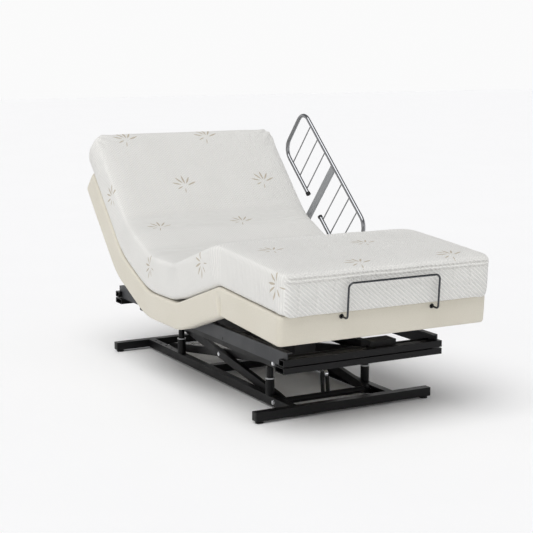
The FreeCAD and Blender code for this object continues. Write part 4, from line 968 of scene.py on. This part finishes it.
def block_between(shape, low, high, ease):
    """A block between two corners added to a shape, with its edges eased."""
    spans = [b - a for a, b in zip(low, high)]
    middle = [(a + b) / 2 for a, b in zip(low, high)]
    way = Matrix.Translation(middle) @ Matrix.Diagonal((*spans, 1.0))
    made = bmesh.ops.create_cube(shape, size=1.0, matrix=way)
    edges = list({e for v in made["verts"] for e in v.link_edges})
    ease_edges(shape, edges, ease, 3)


def make_bar_caps():
    """Moulded caps in the floor bars' ends: a plate with a raised middle."""
    caps_low, caps_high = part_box("bar_end_caps")
    margin = 0.005
    shape = bmesh.new()
    for bar in ("floor_bar_foot", "floor_bar_head"):
        low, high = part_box(bar)
        for inner, outer in ((low[0], caps_low[0]), (high[0], caps_high[0])):
            plate = inner + (outer - inner) * 0.6
            near, far = sorted((inner, plate))
            block_between(shape, (near, low[1], low[2]), (far, high[1], high[2]), 0.0008)
            near, far = sorted((inner, outer))
            block_between(shape, (near, low[1] + margin, low[2] + margin),
                          (far, high[1] - margin, high[2] - margin), 0.0010)
    finished(shape, "moulded_end_caps", "base", "black_plastic", ("bar_end_caps",))


def make_glides():
    """Round feet with a narrower neck, turned about an upright line."""
    low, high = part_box("floor_glides")
    radius, tall = 0.0165, high[2] - low[2]
    neck = 0.012
    profile = ((0.0, tall), (neck, tall), (neck, tall * 0.72), (radius, tall * 0.55),
               (radius, tall * 0.12), (radius - 0.0015, 0.0), (0.0, 0.0))
    shape = bmesh.new()
    for x in (low[0] + radius, high[0] - radius):
        for y in (low[1] + radius, high[1] - radius):
            points = [shape.verts.new((x + across, y, up)) for across, up in profile]
            edges = [shape.edges.new(pair) for pair in zip(points, points[1:])]
            bmesh.ops.spin(shape, geom=points + edges, cent=(x, y, 0.0), axis=(0.0, 0.0, 1.0),
                           angle=2 * math.pi, steps=32, use_merge=True)
    bmesh.ops.remove_doubles(shape, verts=shape.verts, dist=1e-6)
    finished(shape, "turned_glides", "base", "black_plastic", ("floor_glides",))


def make_welds():
    """Short rippled beads where the base rails meet the floor bars."""
    shape = bmesh.new()
    foot_bar, head_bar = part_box("floor_bar_foot"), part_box("floor_bar_head")
    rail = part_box("base_rail_right")
    draw = random.Random(41)
    for y, sense in ((foot_bar[1][1], 1), (head_bar[0][1], -1)):
        for side in (1, -1):
            for across in (rail[0][0] - MID_X, rail[1][0] - MID_X):
                x = MID_X + side * across
                up = rail[0][2] + 0.004
                while up < rail[1][2] - 0.003:
                    size = 0.0022 + draw.uniform(-0.0003, 0.0003)
                    place = (x, y + sense * 0.0004, up)
                    way = Matrix.Translation(place) @ Matrix.Diagonal((1.0, 1.0, 0.75, 1.0))
                    bmesh.ops.create_icosphere(shape, subdivisions=2, radius=size, matrix=way)
                    up += 0.0024
    finished(shape, "weld_beads", "base", "frame_black")


def make_ferrules():
    """Plastic ferrules that line the retainer's two holes in the foot end's cover."""
    low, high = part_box("mattress_retainer")
    rod_radius, from_knee, above_hinge = 0.004, 0.4815, 0.060
    half = (high[0] - low[0]) / 2 - rod_radius
    turn = math.atan2(CALF_WAY.y, CALF_WAY.x)
    spot = KNEE - CALF_WAY * from_knee + Vector((-CALF_WAY.y, CALF_WAY.x)) * above_hinge
    shape = bmesh.new()
    for side in (1, -1):
        way = (Matrix.Translation((MID_X + side * half, spot.x, spot.y))
               @ Matrix.Rotation(turn, 4, "X") @ Matrix.Rotation(math.pi / 2, 4, "X"))
        outer = [shape.verts.new(way @ Vector((0.0046, 0.0, z))) for z in (-0.004, 0.0025)]
        rounded = ((0.0060, 0.0035), (0.0085, 0.0030), (0.0095, 0.0010), (0.0095, -0.0010),
                   (0.0066, -0.004))
        lip = [shape.verts.new(way @ Vector((across, 0.0, z))) for across, z in rounded]
        points = outer + lip
        edges = [shape.edges.new(pair) for pair in zip(points, points[1:] + points[:1])]
        centre = way @ Vector((0.0, 0.0, 0.0))
        axle = way.to_3x3() @ Vector((0.0, 0.0, 1.0))
        bmesh.ops.spin(shape, geom=points + edges, cent=centre, axis=axle,
                       angle=2 * math.pi, steps=28, use_merge=True)
    bmesh.ops.remove_doubles(shape, verts=shape.verts, dist=1e-6)
    finished(shape, "retainer_ferrules", "calf", "black_plastic")


make_ferrules()
make_pivot_bolts("base_bolt_set", "base", "base_pivot_bolts", 0.190, 0.245)
make_pivot_bolts("carriage_bolt_set", "carriage", "carriage_pivot_bolts", 0.166, 0.245)
make_crossing_bolts()
make_bar_caps()
make_glides()
make_welds()


# Studio ---------------------------------------------------------------------------------------


def make_floor():
    shape = bmesh.new()
    bmesh.ops.create_grid(shape, x_segments=1, y_segments=1, size=30.0)
    floor = object_of(shape, "studio_floor")
    made, t, shader, here = material("studio_floor")
    tone = t.mix(t.noise(here, 1.5, 2.0), (0.965, 0.965, 0.965), (0.985, 0.985, 0.985))
    t.feed(shader, "Base Color", tone)
    shader.inputs["Roughness"].default_value = 0.9
    shader.inputs["Specular IOR Level"].default_value = 0.1
    floor.data.materials.append(made)


def make_lights():
    """A studio that is bright low down and dim overhead, with one broad soft light from above."""
    world = bpy.data.worlds.new("studio")
    bpy.context.scene.world = world
    world.use_nodes = True
    t = Tree(world.node_tree)
    way = t.add("ShaderNodeTexCoord").outputs["Generated"]
    rise = t.add("ShaderNodeSeparateXYZ", n0=way).outputs[2]
    sky = world.node_tree.nodes["Background"]
    t.feed(sky, "Color", t.mix(t.ramp(rise, 0.12, 0.62), (0.96, 0.96, 0.96), (0.34, 0.34, 0.35)))
    sky.inputs["Strength"].default_value = 1.0
    data = bpy.data.lights.new("soft_sun", "SUN")
    data.energy = 1.9
    data.angle = math.radians(50.0)
    item = bpy.data.objects.new("soft_sun", data)
    item.rotation_mode = "QUATERNION"
    item.rotation_quaternion = Vector((0.35, 0.25, -0.9)).to_track_quat("-Z", "Y")
    bpy.context.scene.collection.objects.link(item)
    bpy.context.scene.view_settings.view_transform = "Standard"


def make_camera():
    data = bpy.data.cameras.new("camera")
    data.lens = 89.0
    data.sensor_width = 36.0
    data.clip_end = 100.0
    item = bpy.data.objects.new("camera", data)
    item.location = (-2.779, -4.9835, 1.450)
    item.rotation_euler = tuple(math.radians(angle) for angle in (80.487, 0.0, -28.87))
    bpy.context.scene.collection.objects.link(item)
    bpy.context.scene.camera = item


make_floor()
make_lights()
make_camera()
